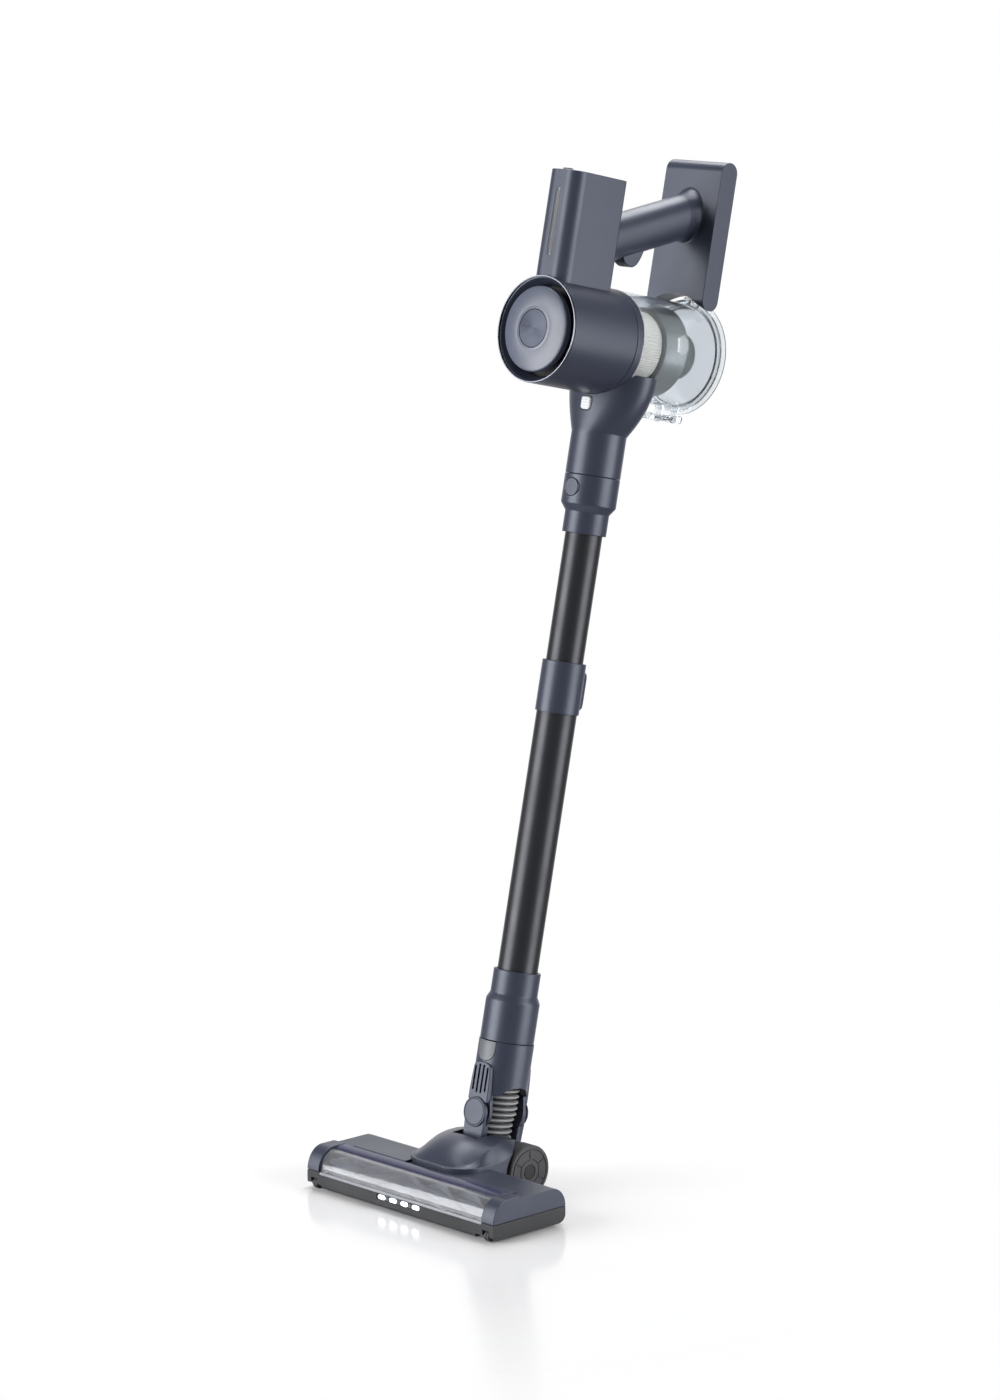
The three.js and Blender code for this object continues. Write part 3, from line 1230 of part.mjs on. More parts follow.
// A bearing plate for the brush with, outside it, the block that holds a front roller.
function brushBearing(side) {
  const span = (inner, outer) => (side > 0 ? [inner, outer] : [-outer, -inner]);
  const plate = box(...span(BEARING_X, BEARING_X + BEARING_WIDTH), HEAD_FRONT + 5, PARTITION_Y + 1,
    FLOOR_TOP - 1, BRUSH_Z + 6);
  const blockHalf = ROLLER_WIDTH / 2 + GAP + WALL;
  const block = box(...span(ROLLER_X - blockHalf, ROLLER_X + blockHalf), HEAD_FRONT + 1, ROLLER_Y + 8,
    SOLE_Z + 0.5, PARTING_Z - 3);
  return joined(plate, block);
}

// What a front roller and its pin need cut from the casing.
function rollerPocket(side) {
  const half = ROLLER_WIDTH / 2 + GAP;
  const x = side * ROLLER_X;
  const pocket = box(x - half, x + half, HEAD_FRONT - 1, ROLLER_Y + 6.5, -5, ROLLER_RADIUS * 2 + 1);
  const seat = ROLLER_WIDTH / 2 + ROLLER_PIN_REACH + GAP;
  const pin = rod(ROLLER_PIN_RADIUS + GAP, "x", -seat, seat, [x, ROLLER_Y, ROLLER_RADIUS], PIN);
  return joined(pocket, pin);
}

function axleArm(side) {
  const [from, to] = side > 0 ? [ARM_INNER_FACE, CHEEK_HALF_WIDTH] : [-CHEEK_HALF_WIDTH, -ARM_INNER_FACE];
  const shape = new THREE.Shape();
  shape.moveTo(HEAD_REAR - 8, PARTING_Z);
  shape.lineTo(HEAD_REAR - 8, SOLE_Z + 6);
  shape.lineTo(AXLE_Y - 4, WHEEL_RADIUS - ARM_RADIUS);
  shape.absarc(AXLE_Y, WHEEL_RADIUS, ARM_RADIUS, -Math.PI / 2, Math.asin(ARM_TOP / ARM_RADIUS));
  shape.lineTo(HEAD_REAR + GAP, WHEEL_RADIUS + ARM_TOP);
  shape.lineTo(HEAD_REAR + GAP, PARTING_Z);
  return prism(shape, "x", from, to, FINE_ARC);
}

function ledOutline(grow) {
  return roundedRectangle(LED_BAR_WIDTH + 2 * grow, 4 + 2 * grow, 1.5, 0, LED_Z - 0.5);
}

function ledBar() {
  const bar = prism(ledOutline(0), "y", HEAD_FRONT + 1, HEAD_FRONT + WALL + 2, ARC);
  const lamps = [];
  for (let i = 0; i < LED_COUNT; i++) {
    const x = (i - (LED_COUNT - 1) / 2) * LED_PITCH;
    lamps.push(rod(1.4, "y", HEAD_FRONT + 0.2, HEAD_FRONT + 1.5, [x, 0, LED_Z - 0.5], PIN));
  }
  return joined(bar, ...lamps);
}

// The brush: bristle flights wound round a core, a belt pulley on its left end and two pins.
function brushRoll() {
  const half = BEARING_X - 6;
  const left = BELT_X + BELT_WIDTH / 2 + 1.2;
  const rings = [];
  const steps = 8;
  for (let step = 0; step <= steps; step++) {
    rings.push(brushRing(left + ((half - left) * step) / steps, (step / steps) * Math.PI * 0.9));
  }
  const pulley = rod(BRUSH_PULLEY_RADIUS, "x", BELT_X - BELT_WIDTH / 2, left + 0.5, BRUSH_CENTRE, SMALL);
  const reach = BEARING_X + BEARING_WIDTH - 0.3;
  const pins = rod(BRUSH_PIN_RADIUS, "x", -reach, reach, BRUSH_CENTRE, PIN);
  return joined(loft(rings), pulley, pins);
}

function brushRing(x, twist) {
  const ring = [];
  const perFlight = 4;
  const count = BRUSH_FLIGHTS * perFlight;
  for (let i = 0; i < count; i++) {
    const angle = (2 * Math.PI * i) / count + twist;
    const radius = i % perFlight < 2 ? BRUSH_RADIUS : BRUSH_CORE_RADIUS;
    ring.push([x, BRUSH_Y + radius * Math.cos(angle), BRUSH_Z + radius * Math.sin(angle)]);
  }
  return ring;
}

function brushMotor() {
  const left = BELT_X + 9;
  const centre = [0, BRUSH_MOTOR_Y, MOTOR_Z];
  return pipe(BRUSH_MOTOR_RADIUS, 1.5 + GAP, "x", left, left + BRUSH_MOTOR_LENGTH, centre, SMALL);
}

function motorPulley() {
  const centre = [0, BRUSH_MOTOR_Y, MOTOR_Z];
  const wheel = rod(MOTOR_PULLEY_RADIUS, "x", BELT_X - BELT_WIDTH / 2, BELT_X + BELT_WIDTH / 2, centre, PIN);
  return joined(wheel, rod(1.5, "x", BELT_X, BELT_X + 24, centre, PIN));
}

function beltOutline(grow) {
  const [dy, dz] = [BRUSH_MOTOR_Y - BRUSH_Y, MOTOR_Z - BRUSH_Z];
  const heading = Math.atan2(dz, dy);
  const spread = Math.acos((BRUSH_PULLEY_RADIUS - MOTOR_PULLEY_RADIUS) / Math.hypot(dy, dz));
  const shape = new THREE.Shape();
  const last = heading - spread + 2 * Math.PI;
  shape.absarc(BRUSH_Y, BRUSH_Z, BRUSH_PULLEY_RADIUS + grow, heading + spread, last);
  shape.absarc(BRUSH_MOTOR_Y, MOTOR_Z, MOTOR_PULLEY_RADIUS + grow, heading - spread, heading + spread);
  return shape;
}

function driveBelt() {
  const [from, to] = [BELT_X - BELT_WIDTH / 2 + 0.3, BELT_X + BELT_WIDTH / 2 - 0.3];
  const outer = prism(beltOutline(GAP + BELT_THICKNESS), "x", from, to, FINE_ARC);
  return cut(outer, prism(beltOutline(GAP), "x", from - 1, to + 1, FINE_ARC));
}

function wheel(side) {
  const inner = CHEEK_HALF_WIDTH + WHEEL_SIDE_GAP;
  const outer = inner + WHEEL_WIDTH;
  const bore = STUB_RADIUS + GAP;
  const profile = [
    [bore, inner],
    [WHEEL_RADIUS - 2, inner],
    [WHEEL_RADIUS, inner + 2],
    [WHEEL_RADIUS, outer - 2.5],
    [WHEEL_RADIUS - 2, outer],
    [WHEEL_RADIUS - 6, outer],
    [WHEEL_RADIUS - 7, outer - 1.5],
    [bore + 3, outer - 1.5],
    [bore, outer - 1.5],
    [bore, inner],
  ];
  return turned(profile.map(([radius, along]) => [radius, side * along]), "x", AXLE, MEDIUM);
}

function stubAxle(side) {
  const [from, to] = [ARM_SEAT_END + GAP, CHEEK_HALF_WIDTH + WHEEL_SIDE_GAP + WHEEL_WIDTH - 2];
  const ends = side > 0 ? [from, to] : [-to, -from];
  return rod(STUB_RADIUS, "x", ...ends, AXLE, SMALL);
}

function roller(side) {
  const half = ROLLER_WIDTH / 2;
  const centre = [side * ROLLER_X, ROLLER_Y, ROLLER_RADIUS];
  const drum = rod(ROLLER_RADIUS, "x", -half, half, centre, SMALL);
  const reach = half + ROLLER_PIN_REACH;
  return joined(drum, rod(ROLLER_PIN_RADIUS, "x", -reach, reach, centre, PIN));
}

// ---- dome over the joint

function domeSide(inset) {
  const shape = new THREE.Shape();
  const top = DOME_TOP - inset;
  shape.moveTo(DOME_FRONT + inset, 0);
  shape.lineTo(DOME_FRONT + inset, HEAD_TOP - 1);
  shape.bezierCurveTo(DOME_FRONT + 1 + inset, HEAD_TOP + 6, 12 + inset, top - 3, 34, top - 0.8);
  shape.bezierCurveTo(46, top + 0.4, 60, top - 0.8, 74, top - 5);
  shape.bezierCurveTo(88, top - 11, DOME_REAR - 2 - inset, 42, DOME_REAR - inset, WHEEL_RADIUS);
  shape.lineTo(DOME_REAR - inset, 0);
  return shape;
}

function domePlan(inset) {
  const half = DOME_HALF_WIDTH - inset;
  const tail = CHEEK_HALF_WIDTH - inset;
  const front = DOME_FRONT + inset;
  const rear = DOME_REAR - inset;
  const corner = 27;
  const shape = new THREE.Shape();
  shape.moveTo(corner - half, front);
  shape.lineTo(half - corner, front);
  shape.absarc(half - corner, front + corner, corner, -Math.PI / 2, 0);
  shape.lineTo(half, 56);
  shape.bezierCurveTo(half, 72, tail + 2, 80, tail, 92);
  shape.lineTo(tail - 4, rear);
  shape.lineTo(4 - tail, rear);
  shape.lineTo(-tail, 92);
  shape.bezierCurveTo(-tail - 2, 80, -half, 72, -half, 56);
  shape.lineTo(-half, front + corner);
  shape.absarc(corner - half, front + corner, corner, Math.PI, 1.5 * Math.PI);
  return shape;
}

// Seen from the front: sides that lean in, and a top rounded into them.
function domeFront(inset) {
  const half = DOME_HALF_WIDTH - inset;
  const top = DOME_TOP - inset;
  const shape = new THREE.Shape();
  shape.moveTo(-half, 0);
  shape.lineTo(half, 0);
  shape.lineTo(half, HEAD_TOP + 4);
  shape.bezierCurveTo(half - 1, top - 6, half - 10, top, 16, top);
  shape.lineTo(-16, top);
  shape.bezierCurveTo(10 - half, top, 1 - half, top - 6, -half, HEAD_TOP + 4);
  return shape;
}

function domeBody(inset) {
  const side = prism(domeSide(inset), "x", -80, 80, FINE_ARC);
  const plan = prism(domePlan(inset), "z", 10, DOME_TOP + 10, FINE_ARC);
  const front = prism(domeFront(inset), "y", -40, 140, FINE_ARC);
  return side.intersect(plan).intersect(front);
}

function domeCover() {
  const shell = WALL + 0.2;
  const slotWall = box(-SLOT_HALF_WIDTH - shell, SLOT_HALF_WIDTH + shell, SLOT_FRONT - shell, 200, 0, 100);
  const hollow = cut(domeBody(shell), slotWall);
  const head = prism(upperOutline(-GAP, HEAD_FRONT - 2, HEAD_REAR + GAP, 0), "x", -HALF_HEAD, HALF_HEAD);
  const armTop = WHEEL_RADIUS + ARM_TOP + GAP;
  const arms = box(-60, 60, HEAD_REAR - 2, 140, -10, armTop);
  const well = (side) => {
    const [near, far] = side > 0 ? [CHEEK_HALF_WIDTH + GAP, 80] : [-80, -CHEEK_HALF_WIDTH - GAP];
    return rod(WHEEL_RADIUS + 2, "x", near, far, AXLE, MEDIUM);
  };
  return cut(domeBody(0), hollow, head, arms, well(-1), well(1), yokeSweep());
}

// ---- the assembly

const vacuum = new THREE.Group();
vacuum.name = "cordless_stick_vacuum";

const wand = new THREE.Group();
wand.position.set(0, AXLE_Y, WHEEL_RADIUS + PIVOT_RISE);
wand.rotation.x = -LEAN;
vacuum.add(wand);

part(wand, "barrel_shell", barrelShell(), looks.shell());
part(wand, "trim_ring", trimRing(), looks.silver());
part(wand, "rear_ring", rearRing(), looks.shell());
part(wand, "exhaust_cover", exhaustCover(), looks.shell());
part(wand, "exhaust_filter", exhaustFilter(), looks.dark());
part(wand, "motor_mount", motorMount(), looks.dark());
part(wand, "suction_motor", suctionMotor(), looks.steel());
part(wand, "impeller", impeller(), looks.silver());
part(wand, "tower_shell", towerShell(), looks.shell());
part(wand, "tower_cap", towerCap(), looks.shell());
part(wand, "mode_button", modeButton(), looks.button());
part(wand, "vent_grille", ventGrille(), looks.silver());
part(wand, "control_board", controlBoard(), looks.board());
part(wand, "handle_grip", handleGrip(), looks.shell());
part(wand, "trigger", trigger(), looks.shell());
part(wand, "battery_housing", batteryHousing(), looks.shell());
part(wand, "battery_pack", batteryPack(), looks.shell());
part(wand, "battery_cells", batteryCells(), looks.cell());
part(wand, "battery_latch", batteryLatch(), looks.button());
part(wand, "neck_inlet", neckInlet(), looks.shell());
part(wand, "cup_release_button", cupReleaseButton(), looks.release());

part(wand, "dust_cup", dustCup(), looks.clear());
part(wand, "filter_core", filterCore(), looks.filter());
part(wand, "cyclone_shroud", cycloneShroud(), looks.shroud());
part(wand, "cyclone_hub", cycloneHub(), looks.hub());
part(wand, "cup_lid", cupLid(), looks.clear());
part(wand, "lid_seal", lidSeal(), looks.rubber());
part(wand, "lid_latch", lidLatch(), looks.clear());

part(wand, "wand_connector", wandConnector(), looks.shell());
part(wand, "wand_release_button", wandReleaseButton(), looks.button());
part(wand, "upper_tube", upperTube(), looks.tube());
part(wand, "tube_guide", tubeGuide(), looks.dark());
part(wand, "lower_tube", lowerTube(), looks.tube());
part(wand, "telescope_collar", telescopeCollar(), looks.shell());
part(wand, "telescope_button", telescopeButton(), looks.button());
part(wand, "wand_foot_collar", wandFootCollar(), looks.shell());

part(wand, "head_neck", headNeck(), looks.shell());
part(wand, "head_release_button", neckReleaseButton(), looks.button());
part(wand, "pivot_cap_front", pivotCap(-1), looks.shell());
part(wand, "pivot_cap_rear", pivotCap(1), looks.shell());
part(wand, "flexible_hose", flexibleHose(), looks.hose());
part(wand, "yoke", yoke(), looks.shell());

part(vacuum, "head_shell", headShell(), looks.shell());
part(vacuum, "head_base", headBase(), looks.frame());
part(vacuum, "dome_cover", domeCover(), looks.shell());
part(vacuum, "brush_window", brushWindow(), looks.clear());
part(vacuum, "window_rail", windowRail(), looks.clear());
part(vacuum, "led_bar", ledBar(), looks.light());
part(vacuum, "brush_roll", brushRoll(), looks.brush());
part(vacuum, "brush_motor", brushMotor(), looks.steel());
part(vacuum, "motor_pulley", motorPulley(), looks.steel());
part(vacuum, "drive_belt", driveBelt(), looks.rubber());
for (const [name, side] of [["left", -1], ["right", 1]]) {
  part(vacuum, `end_cap_${name}`, endCap(side), looks.shell());
  part(vacuum, `wheel_${name}`, wheel(side), looks.wheel());
  part(vacuum, `axle_${name}`, stubAxle(side), looks.steel());
  part(vacuum, `roller_${name}`, roller(side), looks.rubber());
}

export default vacuum;
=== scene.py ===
import json
import math
import random

import bmesh
import bpy
from mathutils import Matrix, Vector


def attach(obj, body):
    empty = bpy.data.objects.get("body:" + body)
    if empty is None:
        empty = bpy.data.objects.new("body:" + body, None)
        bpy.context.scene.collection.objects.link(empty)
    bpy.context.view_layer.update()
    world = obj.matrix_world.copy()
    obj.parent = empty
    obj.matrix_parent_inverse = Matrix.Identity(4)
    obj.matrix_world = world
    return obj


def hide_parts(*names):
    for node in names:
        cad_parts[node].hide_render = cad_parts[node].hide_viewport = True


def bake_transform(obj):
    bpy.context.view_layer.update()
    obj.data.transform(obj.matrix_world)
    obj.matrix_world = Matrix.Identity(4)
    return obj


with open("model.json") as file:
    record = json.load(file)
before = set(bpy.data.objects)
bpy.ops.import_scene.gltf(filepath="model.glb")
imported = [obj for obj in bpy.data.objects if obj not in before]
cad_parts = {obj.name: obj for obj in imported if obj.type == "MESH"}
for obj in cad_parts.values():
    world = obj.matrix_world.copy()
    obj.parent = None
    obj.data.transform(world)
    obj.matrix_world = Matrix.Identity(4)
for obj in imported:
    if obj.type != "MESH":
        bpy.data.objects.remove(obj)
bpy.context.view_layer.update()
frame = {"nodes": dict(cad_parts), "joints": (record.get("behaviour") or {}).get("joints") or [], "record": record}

MM = 0.001
TURN = 2 * math.pi
BOTH_SIDES = (("left", -1), ("right", 1))

# ---- frames: geometry is written in millimetres, in the floor head's frame or in the wand's

JOINTS = {joint["name"]: joint for joint in frame["joints"]}
SLOTS = {part["node"]: part["material_slot"] for part in frame["record"]["subparts"]}
PIVOT = Vector(JOINTS["tilt"]["pos_m"])
BACK = Vector(JOINTS["tilt"]["axis"]).normalized()
ACROSS = Vector((1, 0, 0))
ALONG = ACROSS.cross(BACK).normalized()
AXLE = (0, *(Vector(JOINTS["pitch"]["pos_m"]) / MM)[1:])

HEAD = Matrix.Scale(MM, 4)
WAND = Matrix.Translation(PIVOT) @ Matrix((ACROSS, BACK, ALONG)).transposed().to_4x4() @ HEAD


class Span:
    """A CAD node's lowest, highest and middle points, in millimetres of the frame given."""

    def __init__(self, node, matrix=WAND):
        inverse = matrix.inverted()
        points = [inverse @ vertex.co for vertex in frame["nodes"][node].data.vertices]
        self.lo = Vector(min(p[i] for p in points) for i in range(3))
        self.hi = Vector(max(p[i] for p in points) for i in range(3))
        self.mid = [(low + high) / 2 for low, high in zip(self.lo, self.hi)]


# ---- mesh helpers

def add_object(name, data):
    obj = bpy.data.objects.new(name, data)
    bpy.context.scene.collection.objects.link(obj)
    return obj


def new_object(name, verts, faces):
    """Makes an object, with points that fall together welded and all faces looking outward."""
    mesh = bpy.data.meshes.new(name)
    mesh.from_pydata([tuple(v) for v in verts], [], faces)
    mesh.validate()
    shape = bmesh.new()
    shape.from_mesh(mesh)
    bmesh.ops.remove_doubles(shape, verts=shape.verts, dist=1e-4)
    bmesh.ops.recalc_face_normals(shape, faces=shape.faces)
    shape.to_mesh(mesh)
    shape.free()
    return add_object(name, mesh)


def modify(obj, kind, **settings):
    """Runs one modifier and keeps the mesh that it makes."""
    modifier = obj.modifiers.new(kind, kind)
    for key, value in settings.items():
        setattr(modifier, key, value)
    graph = bpy.context.evaluated_depsgraph_get()
    mesh = bpy.data.meshes.new_from_object(obj.evaluated_get(graph))
    obj.modifiers.clear()
    old, obj.data = obj.data, mesh
    bpy.data.meshes.remove(old)


def carve(obj, tool, operation="DIFFERENCE"):
    """Cuts the tool out of the object and deletes the tool."""
    modify(obj, "BOOLEAN", object=tool, operation=operation, solver="EXACT")
    if not obj.data.polygons:
        raise RuntimeError("%s has no faces left after %s" % (obj.name, tool.name))
    bpy.data.objects.remove(tool)


def merge(obj, tool):
    carve(obj, tool, "UNION")


def bevel(obj, width, segments=3, angle=50):
    """Rounds the edges that turn by more than the angle, in degrees."""
    modify(obj, "BEVEL", width=width, segments=segments, limit_method="ANGLE",
           angle_limit=math.radians(angle), use_clamp_overlap=True)


def finish_piece(obj, matrix, surface, body, nodes=(), smooth=32, weighted=True, slot=None, origin=None):
    """Puts a piece in its place, shades it and lets it ride on its body, if it has one. A
    material that is laid out about an axis needs the object's own origin on that axis."""
    if origin:
        obj.data.transform(HEAD)
        obj.matrix_world = matrix @ Matrix.Translation(origin) @ Matrix.Scale(1 / MM, 4)
    else:
        obj.data.transform(matrix)
    for polygon in obj.data.polygons:
        polygon.use_smooth = True
    obj.data.set_sharp_from_angle(angle=math.radians(smooth))
    if weighted:
        modify(obj, "WEIGHTED_NORMAL", keep_sharp=True)
    obj.data.materials.clear()
    obj.data.materials.append(surface.material)
    if body:
        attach(obj, body)
    if nodes:
        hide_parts(*nodes)
        slot = slot or SLOTS[nodes[0]]


def on_wand(obj, *looks, **settings):
    finish_piece(obj, WAND, *looks, **settings)


def on_head(obj, *looks, **settings):
    finish_piece(obj, HEAD, *looks, **settings)


# ---- outlines

def soften(profile, radius, steps=4):
    """Rounds each inner corner of an open profile with an arc of at most the given radius."""
    points = [Vector(p) for p in profile]
    result = [points[0]]
    for before, corner, after in zip(points, points[1:], points[2:]):
        to_before, to_after = before - corner, after - corner
        reach = min(radius, 0.45 * to_before.length, 0.45 * to_after.length)
        start, end = corner + to_before.normalized() * reach, corner + to_after.normalized() * reach
        for step in range(steps + 1):
            t = step / steps
            result.append(start * (1 - t) ** 2 + corner * 2 * t * (1 - t) + end * t * t)
    result.append(points[-1])
    return result


def arc(centre, radius, start, end, steps=12):
    """Points along an arc, with angles in degrees. The radius may be a pair, for an ellipse."""
    wide, high = radius if isinstance(radius, tuple) else (radius, radius)
    points = []
    for i in range(steps + 1):
        angle = math.radians(start + (end - start) * i / steps)
        points.append((centre[0] + wide * math.cos(angle), centre[1] + high * math.sin(angle)))
    return points


def rounded(width, height, radius, centre=(0, 0), steps=8):
    """A rectangle's outline with round corners."""
    w, h = width / 2 - radius, height / 2 - radius
    outline = []
    for sx, sy, start in ((1, 1, 0), (-1, 1, 90), (-1, -1, 180), (1, -1, 270)):
        outline += arc((centre[0] + sx * w, centre[1] + sy * h), radius, start, start + 90, steps)
    return outline


def mirror(side, near, far):
    """A stretch on the +1 or the -1 side of the middle, lowest end first."""
    return sorted((side * near, side * far))


# ---- solids

PLANES = {
    "x": lambda a, b, depth: (depth, a, b),
    "y": lambda a, b, depth: (a, depth, b),
    "z": lambda a, b, depth: (a, b, depth),
}


def lathe(name, profile, axis="y", centre=(0, 0, 0), segments=96, closed=False):
    """Turns (radius, distance) points about an axis. A closed profile makes a ring."""
    verts, faces, rows = [], [], []
    for radius, along in profile:
        count = segments if radius > 1e-6 else 1
        rows.append([len(verts) + i % count for i in range(segments)])
        for i in range(count):
            turn = TURN * i / segments
            spot = PLANES[axis](radius * math.cos(turn), radius * math.sin(turn), along)
            verts.append(Vector(spot) + Vector(centre))
    for low, high in zip(rows, rows[1:] + (rows[:1] if closed else [])):
        for i in range(segments):
            j = (i + 1) % segments
            corners = list(dict.fromkeys((low[i], low[j], high[j], high[i])))
            if len(corners) > 2:
                faces.append(corners)
    return new_object(name, verts, faces)


def ring(name, outer, inner, start, end, axis="y", centre=(0, 0, 0), edge=0.5, segments=96):
    """A tube with softened rims."""
    middle = (outer + inner) / 2
    face = [(middle, start), (outer, start), (outer, end), (inner, end), (inner, start), (middle, start)]
    return lathe(name, soften(face, edge)[:-1], axis, centre, segments, closed=True)


def disc(name, radius, start, end, axis="y", centre=(0, 0, 0), edge=0.5, segments=64):
    profile = [(0, start), (radius, start), (radius, end), (0, end)]
    return lathe(name, soften(profile, edge), axis, centre, segments)


def band(first, second, count):
    """Quads between two rings of points, given by where each ring starts."""
    return [[first + i, first + (i + 1) % count, second + (i + 1) % count, second + i] for i in range(count)]


def prism(name, outline, axis, start, end):
    """Pushes a closed outline along an axis. Its plane is (y, z), (x, z) or (x, y)."""
    count = len(outline)
    verts = [PLANES[axis](a, b, depth) for depth in (start, end) for a, b in outline]
    faces = [list(range(count)), list(range(count, 2 * count))]
    return new_object(name, verts, faces + band(0, count, count))


def pill(name, width, height, radius, middle, axis, start, end, steps=6):
    """A prism of a rectangle with round corners."""
    return prism(name, rounded(width, height, radius, middle, steps), axis, start, end)


def block(name, lo, hi):
    outline = [(lo[0], lo[1]), (hi[0], lo[1]), (hi[0], hi[1]), (lo[0], hi[1])]
    return prism(name, outline, "z", lo[2], hi[2])


def loft(name, rings):
    """A skin over rings of equally many points, closed at both ends."""
    count = len(rings[0])
    verts = [point for row in rings for point in row]
    faces = []
    for first in range(0, len(verts) - count, count):
        faces += band(first, first + count, count)
    faces += [list(range(count)), list(range(len(verts) - count, len(verts)))]
    return new_object(name, verts, faces)


def join(name, pieces):
    """Makes one object of several, without touching their shapes."""
    shape = bmesh.new()
    for piece in pieces:
        shape.from_mesh(piece.data)
        bpy.data.objects.remove(piece)
    mesh = bpy.data.meshes.new(name)
    shape.to_mesh(mesh)
    shape.free()
    return add_object(name, mesh)


def dots(name, spots, radius, axis, start, end, sides=10):
    """Many short rods in one object, for prints and perforations."""
    outlines = [arc(spot, radius, 0, 360 - 360 / sides, sides - 1) for spot in spots]
    return join(name, [prism("dot", outline, axis, start, end) for outline in outlines])


# ---- materials

def linear(*channels):
    """A colour written as 0 to 255, as the shader's numbers."""
    values = [c / 255 for c in channels]
    return tuple(v / 12.92 if v <= 0.04045 else ((v + 0.055) / 1.055) ** 2.4 for v in values) + (1,)


class Nodes:
    """A node tree whose nodes are added in one line each."""

    def __init__(self, tree):
        self.tree = tree

    def feed(self, socket, value):
        """Links another node's output to the socket, or sets a number or a colour on it."""
        if isinstance(value, bpy.types.NodeSocket):
            self.tree.links.new(value, socket)
        else:
            socket.default_value = value

    def add(self, kind, sockets, **settings):
        node = self.tree.nodes.new("ShaderNode" + kind)
        for key, value in settings.items():
            setattr(node, key, value)
        for socket, value in sockets.items():
            self.feed(node.inputs[socket], value)
        return node.outputs

    def math(self, operation, first, second):
        return self.add("Math", {0: first, 1: second}, operation=operation)[0]

    def ramp(self, value, low, high, out_low, out_high):
        sockets = {"Value": value, "From Min": low, "From Max": high, "To Min": out_low, "To Max": out_high}
        return self.add("MapRange", sockets)["Result"]


class Surface(Nodes):
    """A node material. Its coordinates are the object's own, in metres."""

    def __init__(self, name, color, roughness, metallic=0.0, **sockets):
        self.material = bpy.data.materials.new(name)
        self.material.use_nodes = True
        super().__init__(self.material.node_tree)
        self.shader = self.tree.nodes["Principled BSDF"]
        self.inputs = self.shader.inputs
        self.color, self.roughness = linear(*color), roughness
        sockets.update(Base_Color=self.color, Roughness=roughness, Metallic=metallic)
        for socket, value in sockets.items():
            self.feed(self.inputs[socket.replace("_", " ")], value)
        self.place = self.add("TexCoord", {})["Object"]

    def noise(self, scale, detail=3.0, stretch=None):
        place = self.place
        if stretch:
            place = self.add("Mapping", {"Vector": place, "Scale": stretch})["Vector"]
        return self.add("TexNoise", {"Vector": place, "Scale": scale, "Detail": detail})["Fac"]

    def edges(self, low, high, out_low, out_high):
        """A ramp over how the surface turns: 0.5 on flat faces, more on edges, less in grooves."""
        return self.ramp(self.add("NewGeometry", {})["Pointiness"], low, high, out_low, out_high)

    def tint(self, factor, color):
        """Mixes another colour over what the base colour is so far."""
        base = self.inputs["Base Color"]
        below = base.links[0].from_socket if base.links else base.default_value
        mixed = self.add("Mix", {"Factor": factor, "A": below, "B": color}, data_type="RGBA")
        self.feed(base, mixed["Result"])
        return self

    def mottle(self, amount, scale=18):
        """Slow drift of the colour and the gloss, as moulding and handling leave."""
        drift = self.noise(scale, 4)
        darker = tuple(c * (1 - amount) for c in self.color[:3]) + (1,)
        self.tint(self.ramp(drift, 0.35, 0.7, 0, 1), darker)
        glossier, duller = self.roughness * 0.88, self.roughness * 1.14
        self.feed(self.inputs["Roughness"], self.ramp(drift, 0.3, 0.7, glossier, min(1, duller)))
        return self

    def wear(self, lighten=1.5, amount=0.35):
        """Edges rubbed a little lighter than the faces."""
        paler = tuple(min(1, c * lighten + 0.01) for c in self.color[:3]) + (1,)
        return self.tint(self.edges(0.52, 0.6, 0, amount), paler)

    def painted_groove_shade(self, color):
        """Grooves darkened with painted shade."""
        return self.tint(self.edges(0.48, 0.6, 1, 0), linear(*color))

    def bump(self, height, strength, distance=0.0002):
        normal = self.inputs["Normal"]
        sockets = {"Height": height, "Strength": strength, "Distance": distance}
        if normal.links:
            sockets["Normal"] = normal.links[0].from_socket
        self.feed(normal, self.add("Bump", sockets)["Normal"])
        return self

    def grain(self, scale=2600, strength=0.15, distance=0.00012, stretch=None):
        return self.bump(self.noise(scale, 2, stretch), strength, distance)


def satin(name, color, roughness=0.4, grain=0.12, **sockets):
    return Surface(name, color, roughness, **sockets).mottle(0.12).wear().grain(strength=grain)


def clear(name, color, roughness=0.04, haze=0.0):
    surface = Surface(name, color, roughness, Transmission_Weight=1.0 - haze, IOR=1.42,
                      Specular_IOR_Level=0.3)
    surface.grain(120, 0.04, 0.0004)
    smear = surface.ramp(surface.noise(35), 0.4, 0.75, roughness, roughness * 2.4)
    surface.feed(surface.inputs["Roughness"], smear)
    return surface


def brushed_centre():
    """Turned metal: fine rings about the barrel's axis."""
    surface = Surface("brushed_centre", (64, 68, 80), 0.38, 0.7, Anisotropic=0.75)
    tangent = surface.add("Tangent", {}, direction_type="RADIAL", axis="Y")["Tangent"]
    surface.feed(surface.inputs["Tangent"], tangent)
    rings = surface.add("TexWave", {"Vector": surface.place, "Scale": 900}, wave_type="RINGS",
                        rings_direction="Y")
    return surface.mottle(0.1, 60).bump(rings["Fac"], 0.12, 0.00005)


def perforated():
    surface = Surface("perforated", (128, 132, 132), 0.36, 0.45)
    sockets = {"Vector": surface.place, "Scale": 750, "Randomness": 0.0}
    cells = surface.add("TexVoronoi", sockets, feature="F1")
    hole_edge = cells["Distance"], 0.22, 0.34
    # The holes are a real pattern; their darker tint is painted shade inside them.
    surface.tint(surface.ramp(*hole_edge, 1, 0), linear(100, 104, 105))
    return surface.bump(surface.ramp(*hole_edge, 0, 1), 0.5)


